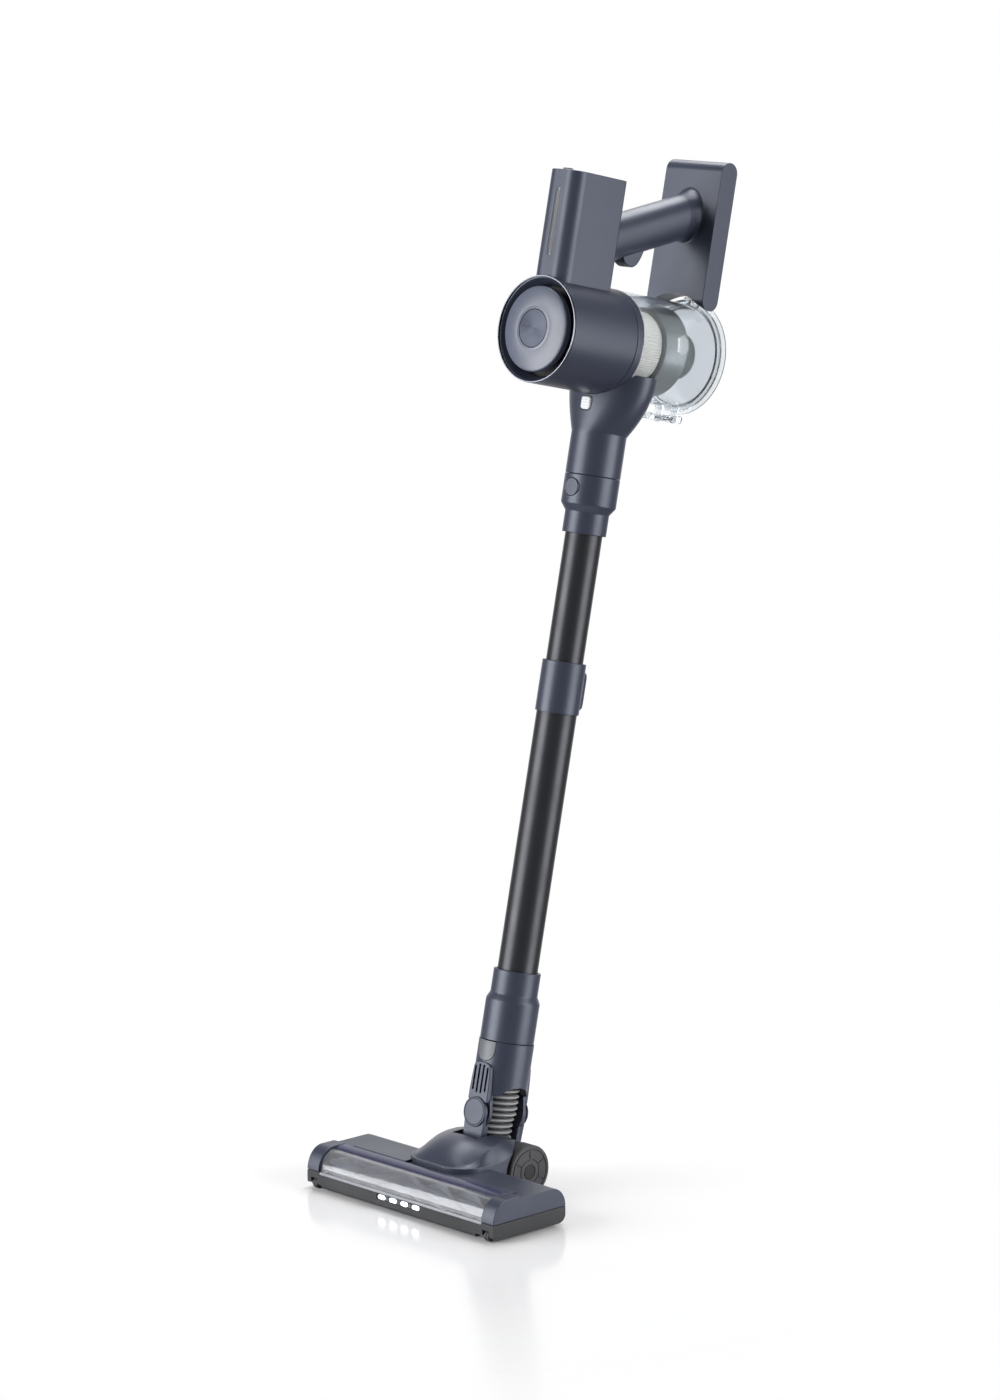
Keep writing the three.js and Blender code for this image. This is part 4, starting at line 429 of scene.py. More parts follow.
SHELL = satin("shell", (47, 51, 65), 0.38, Coat_Weight=0.1, Coat_Roughness=0.35,
              Specular_Tint=(0.8, 0.86, 1, 1))
COVER = satin("cover_disc", (84, 90, 106), 0.34, Coat_Weight=0.2, Coat_Roughness=0.3)
CENTRE = brushed_centre()
TUBE = Surface("tube", (50, 51, 55), 0.34, 0.55).mottle(0.2, 30).grain(1800, 0.2, 0.0001, (6, 6, 0.15))
BUTTON = satin("button", (84, 87, 93), 0.45)
GRILLE = satin("grille", (118, 121, 127), 0.4)
RELEASE = satin("release", (196, 200, 204), 0.35)
SILVER = Surface("silver", (120, 123, 132), 0.3, 1.0).mottle(0.08, 60).grain(800, 0.05)
BASE = satin("base", (44, 45, 48), 0.6, 0.4)
DARK = satin("dark", (20, 20, 23), 0.6, 0.3)
CLEAR = clear("clear", (230, 234, 238))
WINDOW = clear("window_clear", (232, 234, 240), 0.05, 0.06)
TINTED = clear("tinted", (92, 93, 128), 0.06, 0.3)
HUB = satin("hub", (112, 118, 118), 0.5, 0.2)
SHROUD = perforated()
FILTER = Surface("filter", (226, 222, 214), 0.92, Sheen_Weight=0.2).mottle(0.06, 50).grain(1500, 0.5)
# The hose's rib gaps are tinted dark: painted shade in the grooves.
HOSE = Surface("hose", (196, 198, 198), 0.36).mottle(0.12, 40).painted_groove_shade((52, 53, 56)).grain(900, 0.2)
RUBBER = Surface("rubber", (58, 58, 61), 0.7).mottle(0.15, 30).wear(1.6).grain(1200, 0.5)
BRISTLE = Surface("bristle", (112, 114, 122), 0.55, Sheen_Weight=0.4).mottle(0.4, 120).grain(2200, 0.9, 0.0004)
CORE = satin("brush_core", (78, 80, 88), 0.45)
PRINT = satin("print", (244, 246, 246), 0.6, 0.1)
LAMP = Surface("lamp", (245, 250, 255), 0.2, Emission_Strength=5.0, Emission_Color=linear(240, 248, 255))
LAMP.grain(900, 0.1)
RAIL = Surface("rail_clear", (168, 171, 178), 0.15, Coat_Weight=0.4).mottle(0.1, 60).grain(600, 0.1)
STEEL = Surface("steel", (150, 152, 155), 0.3, 0.9).mottle(0.1, 60).grain(900, 0.2)
BOARD = Surface("board", (26, 84, 56), 0.4).mottle(0.3, 80).grain(400, 0.4)
CELL = Surface("cell", (44, 92, 150), 0.35).mottle(0.15, 40).grain(700, 0.1)


# ---- main unit: barrel, exhaust cover, tower

barrel = Span("barrel_shell")
trim = Span("trim_ring")
AXIS_W = barrel.mid[2]
BARREL = (0, 0, AXIS_W)
BARREL_R = barrel.hi.x
BORE_R = BARREL_R - 2.2
ROUND = {"centre": BARREL, "segments": 144}

shell = [(BORE_R, barrel.lo.y), (BARREL_R, barrel.lo.y), (BARREL_R, barrel.hi.y), (BORE_R - 1.5, barrel.hi.y),
         (BORE_R - 1.5, -80), (42, -84), (41.6, -89), (44.5, -95)]
shell = [(BORE_R, barrel.lo.y + 0.6)] + soften(shell, 0.5)[1:]
on_wand(lathe("barrel", shell, closed=True, **ROUND), SHELL, "handheld", ["barrel_shell"])

trim_end = min(trim.hi.y, barrel.lo.y - 0.05)
piece = ring("front_trim", trim.hi.x - 0.3, trim.hi.x - 1.3, trim.lo.y, trim_end, edge=0.7, **ROUND)
on_wand(piece, SILVER, "handheld", ["trim_ring"])

rear = Span("rear_ring")
piece = ring("barrel_rear_ring", rear.hi.x, 30, rear.lo.y + 0.2, rear.hi.y, edge=0.9, **ROUND)
on_wand(piece, SHELL, "handheld", ["rear_ring"])
piece = ring("barrel_seam", BARREL_R - 0.9, BARREL_R - 3, barrel.hi.y - 0.6, rear.lo.y + 0.8, centre=BARREL)
on_wand(piece, DARK, "handheld", slot="dark")

cover = Span("exhaust_cover")
COVER_R, CROWN = cover.hi.x, cover.lo.y
EDGE_Y = CROWN + 4
DISC_R = 17.7
DISH_R, DISH_Y = 21, CROWN + 0.98
face = [(DISC_R + 0.25, CROWN + 1.6), (DISC_R + 0.25, CROWN + 0.75), (19.6, CROWN + 0.85),
        (20.3, CROWN + 1.15), (DISH_R, DISH_Y)]
for step in range(1, 9):
    radius = DISH_R + (COVER_R - 1.2 - DISH_R) * step / 8
    face.append((radius, DISH_Y + (EDGE_Y - DISH_Y) * ((radius - DISH_R) / (COVER_R - DISH_R)) ** 2))
face += [(COVER_R - 0.25, EDGE_Y + 0.25), (COVER_R, EDGE_Y + 1.1), (COVER_R, cover.hi.y),
         (DISC_R + 0.25, cover.hi.y)]
piece = lathe("exhaust_cover_disc", face, closed=True, **ROUND)
on_wand(piece, COVER, "exhaust_lid", ["exhaust_cover"], smooth=40)
face = [(0, CROWN + 0.55), (DISC_R * 0.5, CROWN + 0.6), (DISC_R - 0.6, CROWN + 0.8), (DISC_R, CROWN + 1.2),
        (DISC_R, cover.hi.y - 0.5), (0, cover.hi.y - 0.5)]
piece = lathe("exhaust_cover_centre", face, segments=144)
on_wand(piece, CENTRE, "exhaust_lid", slot="shell", origin=BARREL)

filt = Span("exhaust_filter")
piece = ring("exhaust_filter_ring", BORE_R - 1.8, 24, filt.lo.y + 14, filt.hi.y, centre=BARREL)
on_wand(piece, DARK, "handheld", ["exhaust_filter"])

tower = Span("tower_shell")
TOWER_X, TOWER_TOP = tower.hi.x, Span("tower_cap").hi.z
FRONT_CORNER, BACK_CORNER = 13, 3
plan = []
for sx, y, radius, start, steps in ((1, tower.hi.y - BACK_CORNER, BACK_CORNER, 0, 5),
                                    (-1, tower.hi.y - BACK_CORNER, BACK_CORNER, 90, 5),
                                    (-1, tower.lo.y + FRONT_CORNER, FRONT_CORNER, 180, 14),
                                    (1, tower.lo.y + FRONT_CORNER, FRONT_CORNER, 270, 14)):
    plan += arc((sx * (TOWER_X - radius), y), radius, start, start + 90, steps)
piece = prism("tower", plan, "z", AXIS_W + 38, TOWER_TOP)
bevel(piece, 0.9)
VENT_W, VENT_FOOT, VENT_TOP = 6.7, 786.0, 847.4
VENT_MID, VENT_H = (0, (VENT_FOOT + VENT_TOP) / 2), VENT_TOP - VENT_FOOT
carve(piece, pill("slit", VENT_W, VENT_H, 3.3, VENT_MID, "y", tower.lo.y - 2, tower.lo.y + 0.9))
carve(piece, disc("bore", BARREL_R - 0.05, -110, -5, **ROUND))
on_wand(piece, SHELL, "handheld", ["tower_shell", "tower_cap"], smooth=30)

ROWS, PITCH = 29, 2.05
spots = []
for row in range(ROWS):
    height = VENT_MID[1] + (row - (ROWS - 1) / 2) * PITCH
    spots += [(-2, height), (2, height)]
    if row < ROWS - 1:
        spots.append((0, height + PITCH / 2))
plate = pill("grille", VENT_W - 0.1, VENT_H - 0.1, 3.2, VENT_MID, "y", tower.lo.y + 0.5, tower.lo.y + 0.95)
carve(plate, dots("holes", spots, 0.84, "y", tower.lo.y, tower.lo.y + 0.85, 8))
on_wand(plate, GRILLE, "handheld", ["vent_grille"])
# Dark discs at the bottom of the grille's holes: painted shade in the holes.
piece = dots("grille_hole_painted_shade", spots, 0.82, "y", tower.lo.y + 0.8, tower.lo.y + 0.88, 8)
on_wand(piece, DARK, "handheld", slot="dark", weighted=False)

key = Span("mode_button")
key_w, key_l = key.hi.x - key.lo.x, key.hi.y - key.lo.y
piece = pill("mode_key", key_w, key_l, 1.6, (0, key.mid[1]), "z", key.lo.z, key.hi.z, 5)
bevel(piece, 0.6)
on_wand(piece, BUTTON, "mode_key", ["mode_button"])


# ---- handle, trigger, battery case

SLOPE = math.tan(math.radians(20.5))
grip = Span("handle_grip")
slab = Span("battery_housing")
HANDLE_W = grip.hi.x
HANDLE_H = 41.3 / 2 / math.cos(math.atan(SLOPE))
HANDLE_RISE = AXIS_W + 103.2
SLAB_FRONT, SLAB_FOOT = 71.6, 761.8
SLAB_MID_V = (SLAB_FRONT + slab.hi.y) / 2
SLAB_HALF = (slab.hi.y - SLAB_FRONT) / 2


def handle_ring(v, wide, high, steps=72):
    rise = HANDLE_RISE + SLOPE * v
    turns = [TURN * i / steps for i in range(steps)]
    return [(wide * math.cos(turn), v, rise + high * math.sin(turn)) for turn in turns]


def smooth_path(path, passes=3):
    """Cuts the corners of a closed outline until it runs smoothly."""
    for _ in range(passes):
        cut = []
        for (ax, ay), (bx, by) in zip(path, path[1:] + path[:1]):
            for share in (0.75, 0.25):
                cut.append((share * ax + (1 - share) * bx, share * ay + (1 - share) * by))
        path = cut
    return path


places = (grip.lo.y, grip.lo.y + 0.5, 0, 30, grip.hi.y - 0.6, grip.hi.y)
piece = loft("handle", [handle_ring(v, HANDLE_W, HANDLE_H) for v in places])
carve(piece, block("slot", (-7.9, -14, 770), (7.9, 19.6, HANDLE_RISE - 6)))
on_wand(piece, SHELL, "handheld", ["handle_grip"], smooth=40)

trigger = Span("trigger")
low = trigger.lo.z
path = [(-12.4, 812), (-12.6, 803), (-11.4, 797.5), (-8.4, low + 3.6), (-4, low + 0.9), (0.8, low),
        (5.5, low + 0.9), (9.4, low + 4), (12.4, low + 9), (15, low + 15.5), (17.3, low + 22.5),
        (18.2, low + 26), (17.6, low + 31), (2, 822), (-12.4, 818)]
piece = prism("trigger_lever", smooth_path(path), "x", -7.4, 7.4)
bevel(piece, 2.2, 5, 60)
on_wand(piece, SHELL, "trigger_lever", ["trigger"], smooth=50)

FLARE_W, FLARE_H = 3.6, 5.6
rings = []
for step in range(17):
    share = step / 16
    grow = 1 - math.sqrt(max(0, 1 - share ** 2.4))
    rings.append(handle_ring(59.6 + 12.6 * share, HANDLE_W + FLARE_W * grow, HANDLE_H + FLARE_H * grow))
rings.append(handle_ring(74, HANDLE_W + FLARE_W, HANDLE_H + FLARE_H))
flare = loft("flare", rings)
middle = (SLAB_MID_V, (slab.hi.z + SLAB_FOOT) / 2)
case = pill("battery_case", 2 * SLAB_HALF - 0.5, slab.hi.z - SLAB_FOOT, SLAB_HALF - 0.3, middle, "x",
            slab.lo.x, slab.hi.x, 12)
bevel(case, 0.8)
merge(case, flare)
carve(case, disc("arch", 57, 60, 100, **ROUND))
pack = Span("battery_pack")
PACK_W, PACK_H = 2 * pack.hi.x, pack.hi.z - pack.lo.z
PACK_MID = (0, pack.mid[2])
carve(case, pill("bay", PACK_W + 0.7, PACK_H + 0.7, 6.3, PACK_MID, "y", pack.lo.y - 0.3, 99, 8))
on_wand(case, SHELL, "handheld", ["battery_housing"], smooth=35)

latch = Span("battery_latch")
LATCH_MID = (0, latch.mid[2])
piece = pill("pack_block", PACK_W, PACK_H, 6, PACK_MID, "y", pack.lo.y + 0.4, pack.hi.y, 8)
bevel(piece, 0.7)
carve(piece, pill("pocket", 18.8, 7.8, 3.6, LATCH_MID, "y", pack.hi.y - 4.9, 99))
carve(piece, pill("groove", 34, 1.6, 0.75, (0, LATCH_MID[1] - 12), "y", pack.hi.y - 0.7, 99, 5))
on_wand(piece, SHELL, "battery", ["battery_pack"], smooth=35)
piece = pill("battery_key", 18, 7, 3.4, LATCH_MID, "y", latch.lo.y, latch.hi.y)
bevel(piece, 0.6)
on_wand(piece, BUTTON, "battery_key", ["battery_latch"])


# ---- neck under the barrel

inlet = Span("neck_inlet")
NECK_R = 25.6
NECK_STRAIGHT = 634
STEPS = 24
stages = [(0, height) for height in (inlet.lo.z, inlet.lo.z + 0.5, inlet.lo.z + 16, NECK_STRAIGHT)]
for step in range(1, STEPS + 1):
    stages.append((step / STEPS, NECK_STRAIGHT + (inlet.hi.z - NECK_STRAIGHT) * (step / STEPS)))
rings = []
for share, height in stages:
    spread = 1 - (1 - share) ** 2
    wide, deep = NECK_R + 22.4 * spread, NECK_R + 3.4 * spread
    turns = [TURN * i / 96 for i in range(96)]
    rings.append([(wide * math.cos(turn), 7.5 * spread + deep * math.sin(turn), height) for turn in turns])
piece = loft("neck", rings)
bevel(piece, 0.7, angle=55)
carve(piece, disc("seat", BARREL_R + 0.3, -110, 120, **ROUND))
carve(piece, disc("duct", 11, 640, 700, "z", (0, 15, 0)))
carve(piece, disc("bore", 17.5, 560, 640, "z"))
release = Span("cup_release_button")
RELEASE_MID = (0, release.mid[2])
KEY_ROOM = (11.9, 12.4, 3.2, RELEASE_MID, "y", -50)
carve(piece, pill("recess", 13.6, 14.4, 4.2, RELEASE_MID, "y", -50, release.lo.y + 2.2))
carve(piece, pill("key_room", *KEY_ROOM, release.hi.y + 2.7))
on_wand(piece, SHELL, "handheld", ["neck_inlet"], smooth=40)
# A dark frame on the recess floor around the key: painted shade in the gap.
piece = pill("release_recess_painted_shade", 13.5, 14.3, 4.1, RELEASE_MID, "y", release.lo.y + 2.05, release.lo.y + 2.6)
carve(piece, pill("hole", *KEY_ROOM, 0))
on_wand(piece, DARK, "handheld", slot="dark")
piece = pill("release_key", 11.5, 12, 3, RELEASE_MID, "y", release.lo.y, release.hi.y, 8)
bevel(piece, 0.9, 4)
on_wand(piece, RELEASE, "cup_key", ["cup_release_button"])
DOTS = [(-2.4, 3.6), (0, 4.2), (2.4, 3.6), (-3.4, 1.2), (-1.1, 1.6), (1.3, 1.6), (3.4, 1.2), (-3.4, -1.4),
        (-1.1, -1), (1.3, -1), (3.4, -1.4), (-2.2, -3.8), (0, -3.4), (2.2, -3.8)]
spots = [(x, RELEASE_MID[1] + z) for x, z in DOTS]
piece = dots("release_print", spots, 0.55, "y", release.lo.y - 0.06, release.lo.y + 0.2)
on_wand(piece, PRINT, "cup_key", slot="release", weighted=False)


# ---- dust cup, cyclone and lid

cup = Span("dust_cup")
lid = Span("cup_lid")
CUP_R = BARREL_R - 0.3
CUP_BORE = CUP_R - 1.8
CUP_BOTTOM, CUP_TOP = AXIS_W - CUP_R, AXIS_W + CUP_R
LID_R = lid.hi.x
CUP_FRONT, CUP_REAR = cup.lo.y, 92
LID_FRONT, LID_REAR = CUP_REAR + 0.3, CUP_REAR + 3.5

face = [(38, CUP_FRONT), (CUP_R, CUP_FRONT), (CUP_R, CUP_REAR - 3), (CUP_R + 2.6, CUP_REAR - 2.4),
        (CUP_R + 2.6, CUP_REAR), (CUP_BORE, CUP_REAR), (CUP_BORE, CUP_FRONT + 1.8), (38, CUP_FRONT + 1.8),
        (38, CUP_FRONT + 0.9)]
face = [(38, CUP_FRONT + 0.9)] + soften(face, 0.5)[:-1]
piece = lathe("dust_cup_wall", face, closed=True, **ROUND)
carve(piece, disc("duct", 11, CUP_BOTTOM - 1, AXIS_W - CUP_BORE + 6, "z", (0, 15, 0)))
on_wand(piece, CLEAR, "cup", ["dust_cup"])

LATCH_W = AXIS_W - LID_R - 4.8
for word, side in BOTH_SIDES:
    outline = arc((84, LATCH_W), 4, 180, 360) + [(89, CUP_BOTTOM + 1.2), (79, CUP_BOTTOM + 1.2)]
    piece = prism("latch_ear_" + word, outline, "x", *mirror(side, 8.9, 11.1))
    bevel(piece, 0.4, 2)
    carve(piece, disc("clear", CUP_R + 0.05, 60, 99, **ROUND))
    on_wand(piece, CLEAR, "cup", slot="clear")

hinge_place = WAND.inverted() @ Vector(JOINTS["lid_open"]["pos_m"])
HINGE_V, HINGE_W = hinge_place.yz
HINGE = (0, HINGE_V, HINGE_W)
arm = [(80, CUP_TOP - 0.4), (80, CUP_TOP + 1.6), (88, HINGE_W - 1.2), (92, HINGE_W + 0.4)]
arm += arc(HINGE[1:], 3, 120, -60, 14) + [(93.5, HINGE_W - 3.2), (91.4, HINGE_W - 4.4), (91, CUP_TOP - 0.4)]
piece = prism("hinge_arm", arm, "x", -5, 5)
bevel(piece, 0.4, 2)
carve(piece, disc("clear", CUP_R - 0.1, 60, 99, **ROUND))
carve(piece, disc("pin_hole", 1.7, -20, 20, "x", HINGE, segments=24))
on_wand(piece, CLEAR, "cup", slot="clear")

face = [(0, LID_FRONT - 3), (44.9, LID_FRONT - 3), (44.9, LID_FRONT), (LID_R, LID_FRONT), (LID_R, LID_REAR),
        (LID_R - 2.2, LID_REAR), (LID_R - 3.4, LID_REAR - 1.3), (CUP_BORE - 3, LID_REAR - 1.1),
        (CUP_BORE - 5, LID_REAR - 0.4), (CUP_BORE - 7, LID_REAR - 1.1), (0, LID_REAR - 0.8)]
piece = lathe("lid_disc", soften(face, 0.6), **ROUND)
carve(piece, block("notch", (-5.4, LID_FRONT - 0.2, HINGE_W - 4.2), (5.4, LID_REAR + 3, HINGE_W + 8)))
on_wand(piece, CLEAR, "lid", ["cup_lid"])
lug = [(LID_FRONT + 0.8, HINGE_W - 9), (LID_FRONT + 0.8, HINGE_W - 2), (95, HINGE_W + 1.4)]
lug += arc(HINGE[1:], 3, 150, -40, 14) + [(LID_REAR + 1.4, HINGE_W - 9)]
for word, side in BOTH_SIDES:
    piece = prism("lid_lug_" + word, lug, "x", *mirror(side, 5.4, 9.2))
    bevel(piece, 0.4, 2)
    on_wand(piece, CLEAR, "lid", slot="clear")
on_wand(disc("lid_pin", 1.4, -9, 9, "x", HINGE, 0.3, 24), STEEL, "lid", slot="clear")
piece = ring("lid_seal_ring", 47.1, 45.3, LID_FRONT - 2.5, LID_FRONT - 0.3, **ROUND)
on_wand(piece, HOSE, "lid", ["lid_seal"])

lever = Span("lid_latch")
top, bottom = LATCH_W + 3, lever.lo.z
hook, tip = lever.hi.y, lever.hi.z
path = [(49, bottom + 1.5), (51, bottom), (hook - 1.4, bottom), (hook, bottom + 1.4), (hook, tip - 1.2),
        (hook - 1, tip), (hook - 2.3, tip - 0.2), (hook - 2.5, top - 1), (88, top), (79, top),
        (75, top - 2.5), (60, top - 2.5), (58, top - 0.3), (55, top), (49.6, top), (49, top - 0.8)]
piece = prism("lid_lever", path, "x", -8.4, 8.4)
bevel(piece, 0.5, 3, 40)
carve(piece, pill("window", 10, 11, 1.4, (0, 67.5), "z", bottom - 1, top + 1, 5))
on_wand(piece, CLEAR, "lid_lever", ["lid_latch"], smooth=40)
on_wand(disc("lever_pin", 1.7, -11, 11, "x", (0, 84, LATCH_W), 0.3, 24), STEEL, "lid_lever", slot="clear")

core = Span("filter_core")
PLEATS, PER_PLEAT = 90, 4
outline = []
for i in range(PLEATS * PER_PLEAT):
    turn = TURN * i / (PLEATS * PER_PLEAT)
    radius = core.hi.x - 0.45 + 0.45 * math.cos(PLEATS * turn)
    outline.append((radius * math.cos(turn), AXIS_W + radius * math.sin(turn)))
piece = prism("filter", outline, "y", core.lo.y, core.hi.y)
carve(piece, disc("bore", 26, core.lo.y - 1, core.hi.y + 1, centre=BARREL))
on_wand(piece, FILTER, "cup", ["filter_core"], smooth=60)

shroud = Span("cyclone_shroud")
front, back = shroud.lo.y, shroud.hi.y
face = [(30, front + 0.8), (30, front), (37.2, front), (38.3, front + 1), (42, back - 1), (41.4, back),
        (22.4, back), (22.4, back - 1.6), (40, back - 1.6), (36.4, front + 1.8), (30, front + 1.8)]
piece = lathe("shroud", soften(face, 0.4), segments=144, closed=True)
on_wand(piece, SHROUD, "cup", ["cyclone_shroud"], origin=BARREL)
hub = Span("cyclone_hub")
wall = hub.hi.x - 2.2
face = [(0, hub.hi.y), (hub.hi.x, hub.hi.y), (hub.hi.x, hub.lo.y), (wall, hub.lo.y), (wall, hub.hi.y - 4),
        (0, hub.hi.y - 2.2)]
on_wand(lathe("hub", soften(face, 2.4, 8), centre=BARREL), HUB, "cup", ["cyclone_hub"], smooth=45)


# ---- fill mark printed on the cup: a word, a line and a field of dots

STROKES = {
    "M": [[(0, 0), (0, 1), (0.5, 0.4), (1, 1), (1, 0)]],
    "A": [[(0, 0), (0.5, 1), (1, 0)], [(0.22, 0.36), (0.78, 0.36)]],
    "X": [[(0, 0), (1, 1)], [(0, 1), (1, 0)]],
}


def stroke(start, end, width):
    """A flat bar between two points, as four corners."""
    along = Vector((end[0] - start[0], end[1] - start[1])).normalized() * width / 2
    side = Vector((-along.y, along.x))
    a, b = Vector(start) - along, Vector(end) + along
    return [a + side, a - side, b - side, b + side]


def wrap(point):
    """Lays a flat print on the cup's +X side: first the distance back, then the height."""
    radius = CUP_R + 0.06
    turn = point[1] / radius
    return Vector((math.cos(turn) * radius, point[0], AXIS_W + math.sin(turn) * radius))


MARK_V, MARK_UP = 38.0, 7.8
LETTER_W, LETTER_H, LETTER_STEP = 3.3, 2.6, 4.3
quads = []
for index, letter in enumerate("MAX"):
    left = MARK_UP - 6.2 + index * LETTER_STEP
    for path in STROKES[letter]:
        points = [(MARK_V - LETTER_H * high, left + LETTER_W * wide) for wide, high in path]
        quads += [stroke(a, b, 0.8) for a, b in zip(points, points[1:])]
quads.append([(MARK_V + dv, MARK_UP + up) for dv, up in ((1.5, -7.6), (2.3, -7.6), (2.3, 7.6), (1.5, 7.6))])
for row, reach in enumerate((6.4, 5.2, 3.9, 2.6)):
    steps = int(reach / 1.3)
    for k in range(-steps, steps + 1):
        spot = (MARK_V + 4.2 + row * 2.2, MARK_UP + k * 2.08 + (row % 2) * 1.04)
        quads.append(arc(spot, 0.54, 0, 324, 9))
verts, faces = [], []
for quad in quads:
    faces.append(list(range(len(verts), len(verts) + len(quad))))
    verts += [wrap(Vector(p)) for p in quad]
on_wand(new_object("cup_mark", verts, faces), PRINT, "cup", slot="clear", weighted=False)


# ---- wand tubes, from the top down

conn = Span("wand_connector")
tube = Span("upper_tube")
low, high = conn.lo.z, conn.hi.z
face = [(17.8, low), (20.5, low), (20.5, low + 20), (24.2, low + 25), (NECK_R, low + 27), (NECK_R, high),
        (17.8, high), (17.8, low)]
piece = lathe("connector", [(17.8, low + 1)] + soften(face, 0.9)[1:-1], "z", closed=True)
press = Span("wand_release_button")
button_place = (0, 0, press.mid[2])
carve(piece, disc("hole", 8.85, -40, -19.6, "y", button_place))
on_wand(piece, SHELL, "wand_upper", ["wand_connector"], smooth=35)
piece = disc("wand_release_key", 8.5, press.lo.y, press.hi.y, "y", button_place, 1.1)
on_wand(piece, SHELL, "wand_key", ["wand_release_button"], smooth=40)

guide = Span("tube_guide")
lower = Span("lower_tube")
for name, node, span, inner, top, edge, surface, body in (
        ("tube_upper", "upper_tube", tube, tube.hi.x - 1.2, tube.hi.z, 0.3, TUBE, "wand_upper"),
        ("tube_bush", "tube_guide", guide, 14.4, guide.lo.z + 11, 0.4, DARK, "wand_upper"),
        ("tube_lower", "lower_tube", lower, lower.hi.x - 1, lower.hi.z, 0.3, TUBE, "wand_lower")):
    piece = ring(name, span.hi.x, inner, span.lo.z, top, "z", edge=edge)
    on_wand(piece, surface, body, [node])

collar = Span("telescope_collar")
low, high = collar.lo.z, collar.hi.z
face = [(19.3, low), (20.4, low), (20.4, high), (17.8, high), (17.8, lower.hi.z + 0.4),
        (19.3, lower.hi.z + 0.4), (19.3, low)]
piece = lathe("telescope_ring", [(19.3, low + 1)] + soften(face, 0.8)[1:-1], "z", closed=True)
rings = []
for v, half, lift in ((15, 9, 0), (21.6, 9, 0), (23.6, 8.4, 1.2), (24.2, 7.2, 2.6)):
    outline = rounded(2 * half, high - low - 11 - 2 * lift, min(3.4, half - 0.1), (0, collar.mid[2] - 1.5), 6)
    rings.append([(x, v, z) for x, z in outline])
lump = loft("lump", rings)
carve(lump, disc("core", 20, 300, 460, "z"))
merge(piece, lump)
lock = Span("telescope_button")
LOCK_MID, LOCK_H = (0, lock.mid[2]), lock.hi.z - lock.lo.z
carve(piece, pill("pocket", 14.8, LOCK_H + 0.8, 3.2, LOCK_MID, "y", 20.2, 30))
on_wand(piece, SHELL, "wand_lower", ["telescope_collar"], smooth=38)
piece = pill("telescope_key", 14, LOCK_H, 2.8, LOCK_MID, "y", lock.lo.y, lock.hi.y)
bevel(piece, 0.8)
for k in range(4):
    rib = LOCK_MID[1] - 7 + 4 * k
    carve(piece, block("rib", (-5, lock.hi.y - 0.5, rib), (5, 40, rib + 1)))
on_wand(piece, BUTTON, "telescope_key", ["telescope_button"], smooth=35)

foot = Span("wand_foot_collar")
FOOT_R = foot.hi.x
low, high = foot.lo.z, foot.hi.z
face = [(19.3, high - 0.6), (19.3, high), (22, high), (22, 111), (FOOT_R - 0.8, 106.5), (FOOT_R, 104.6),
        (FOOT_R, low), (19.3, low), (19.3, low + 4)]
piece = lathe("foot_collar", [face[0]] + soften(face, 0.8)[1:-1] + [face[-1]], "z", closed=True)
on_wand(piece, SHELL, "wand_lower", ["wand_foot_collar"], smooth=35)


# ---- head neck, pivot, yoke and hose

neck = Span("head_neck")
NECK_TUBE_R, NECK_TOP, NECK_FOOT = neck.hi.x, neck.hi.z, 18.0
NECK_BORE = NECK_TUBE_R - 2.4
EAR_IN, EAR_STEP, EAR_OUT = 20.0, 23.3, 27.1
EYE_R, EYE_IN = 13.5, 23.6
BARE = 0.01        # a rim that is as good as sharp
piece = ring("neck_tube", NECK_TUBE_R, NECK_BORE, NECK_FOOT, NECK_TOP, "z", edge=0.6)
carve(piece, prism("arch", arc((0, NECK_FOOT), (16.5, 9), 0, 352.5, 47), "x", -40, 40))
tongue = arc((0, 0), 15.5, 180, 360, 28) + [(15.3, 4), (13, 16), (13, 38), (-13, 38), (-13, 16), (-15.3, 4)]
plate = [(-12.5, 10), (12.5, 10), (12.3, 22), (11.7, 32), (10.8, 42)] + arc((0, 42), (10.8, 5), 0, 180)[1:]
plate += [(-11.7, 32), (-12.3, 22)]
for side in (-1, 1):
    ear = prism("ear", tongue, "y", *mirror(side, EAR_IN, EAR_STEP))
    bevel(ear, 0.5, 2)
    carve(ear, disc("inside", NECK_BORE, NECK_FOOT - 1, 70, "z"))
    carve(ear, ring("outside", 40, NECK_TUBE_R - 0.05, 13, 60, "z", edge=BARE))
    merge(piece, ear)
    ear = prism("ear_plate", plate, "y", *mirror(side, EAR_IN + 1, EAR_OUT))
    bevel(ear, 1.1, 4)
    carve(ear, disc("inside", NECK_BORE, NECK_FOOT - 1, 70, "z"))
    carve(ear, disc("eye_room", EYE_R + 0.6, *mirror(side, EAR_STEP, 40), edge=BARE))
    merge(piece, ear)
for x, length in ((-7.8, 23), (-2.6, 27), (2.6, 27), (7.8, 23)):
    carve(piece, pill("groove", 2.4, length, 1.15, (x, 31), "y", -30, -24.6, 5))
KEY_PLACE = (0, 61.4)
carve(piece, pill("button_hole", 21, 27, 9.5, KEY_PLACE, "y", -40, -16, 8))
on_wand(piece, SHELL, "neck", ["head_neck"], smooth=35)

piece = ring("head_release_key", 26.3, 23.2, NECK_TOP - 22, NECK_TOP - 0.2, "z", edge=0.5)
carve(piece, pill("u", 20, 26, 9, KEY_PLACE, "y", -40, -10, 8), "INTERSECT")
on_wand(piece, BUTTON, "neck_key", ["head_release_button"], smooth=40)

for node, side in (("pivot_cap_front", -1), ("pivot_cap_rear", 1)):
    span = Span(node)
    near, far = side * EAR_OUT + side * 0.2, span.lo.y if side < 0 else span.hi.y
    face = [(0, far), (11.9, far), (12.1, far - 0.6 * side), (12.7, far - 0.6 * side), (12.9, far),
            (13.7, far), (14.1, far - 0.5 * side), (14.1, near), (0, near)]
    on_wand(lathe(node + "_disc", soften(face, 0.25)), SHELL, "neck", [node])

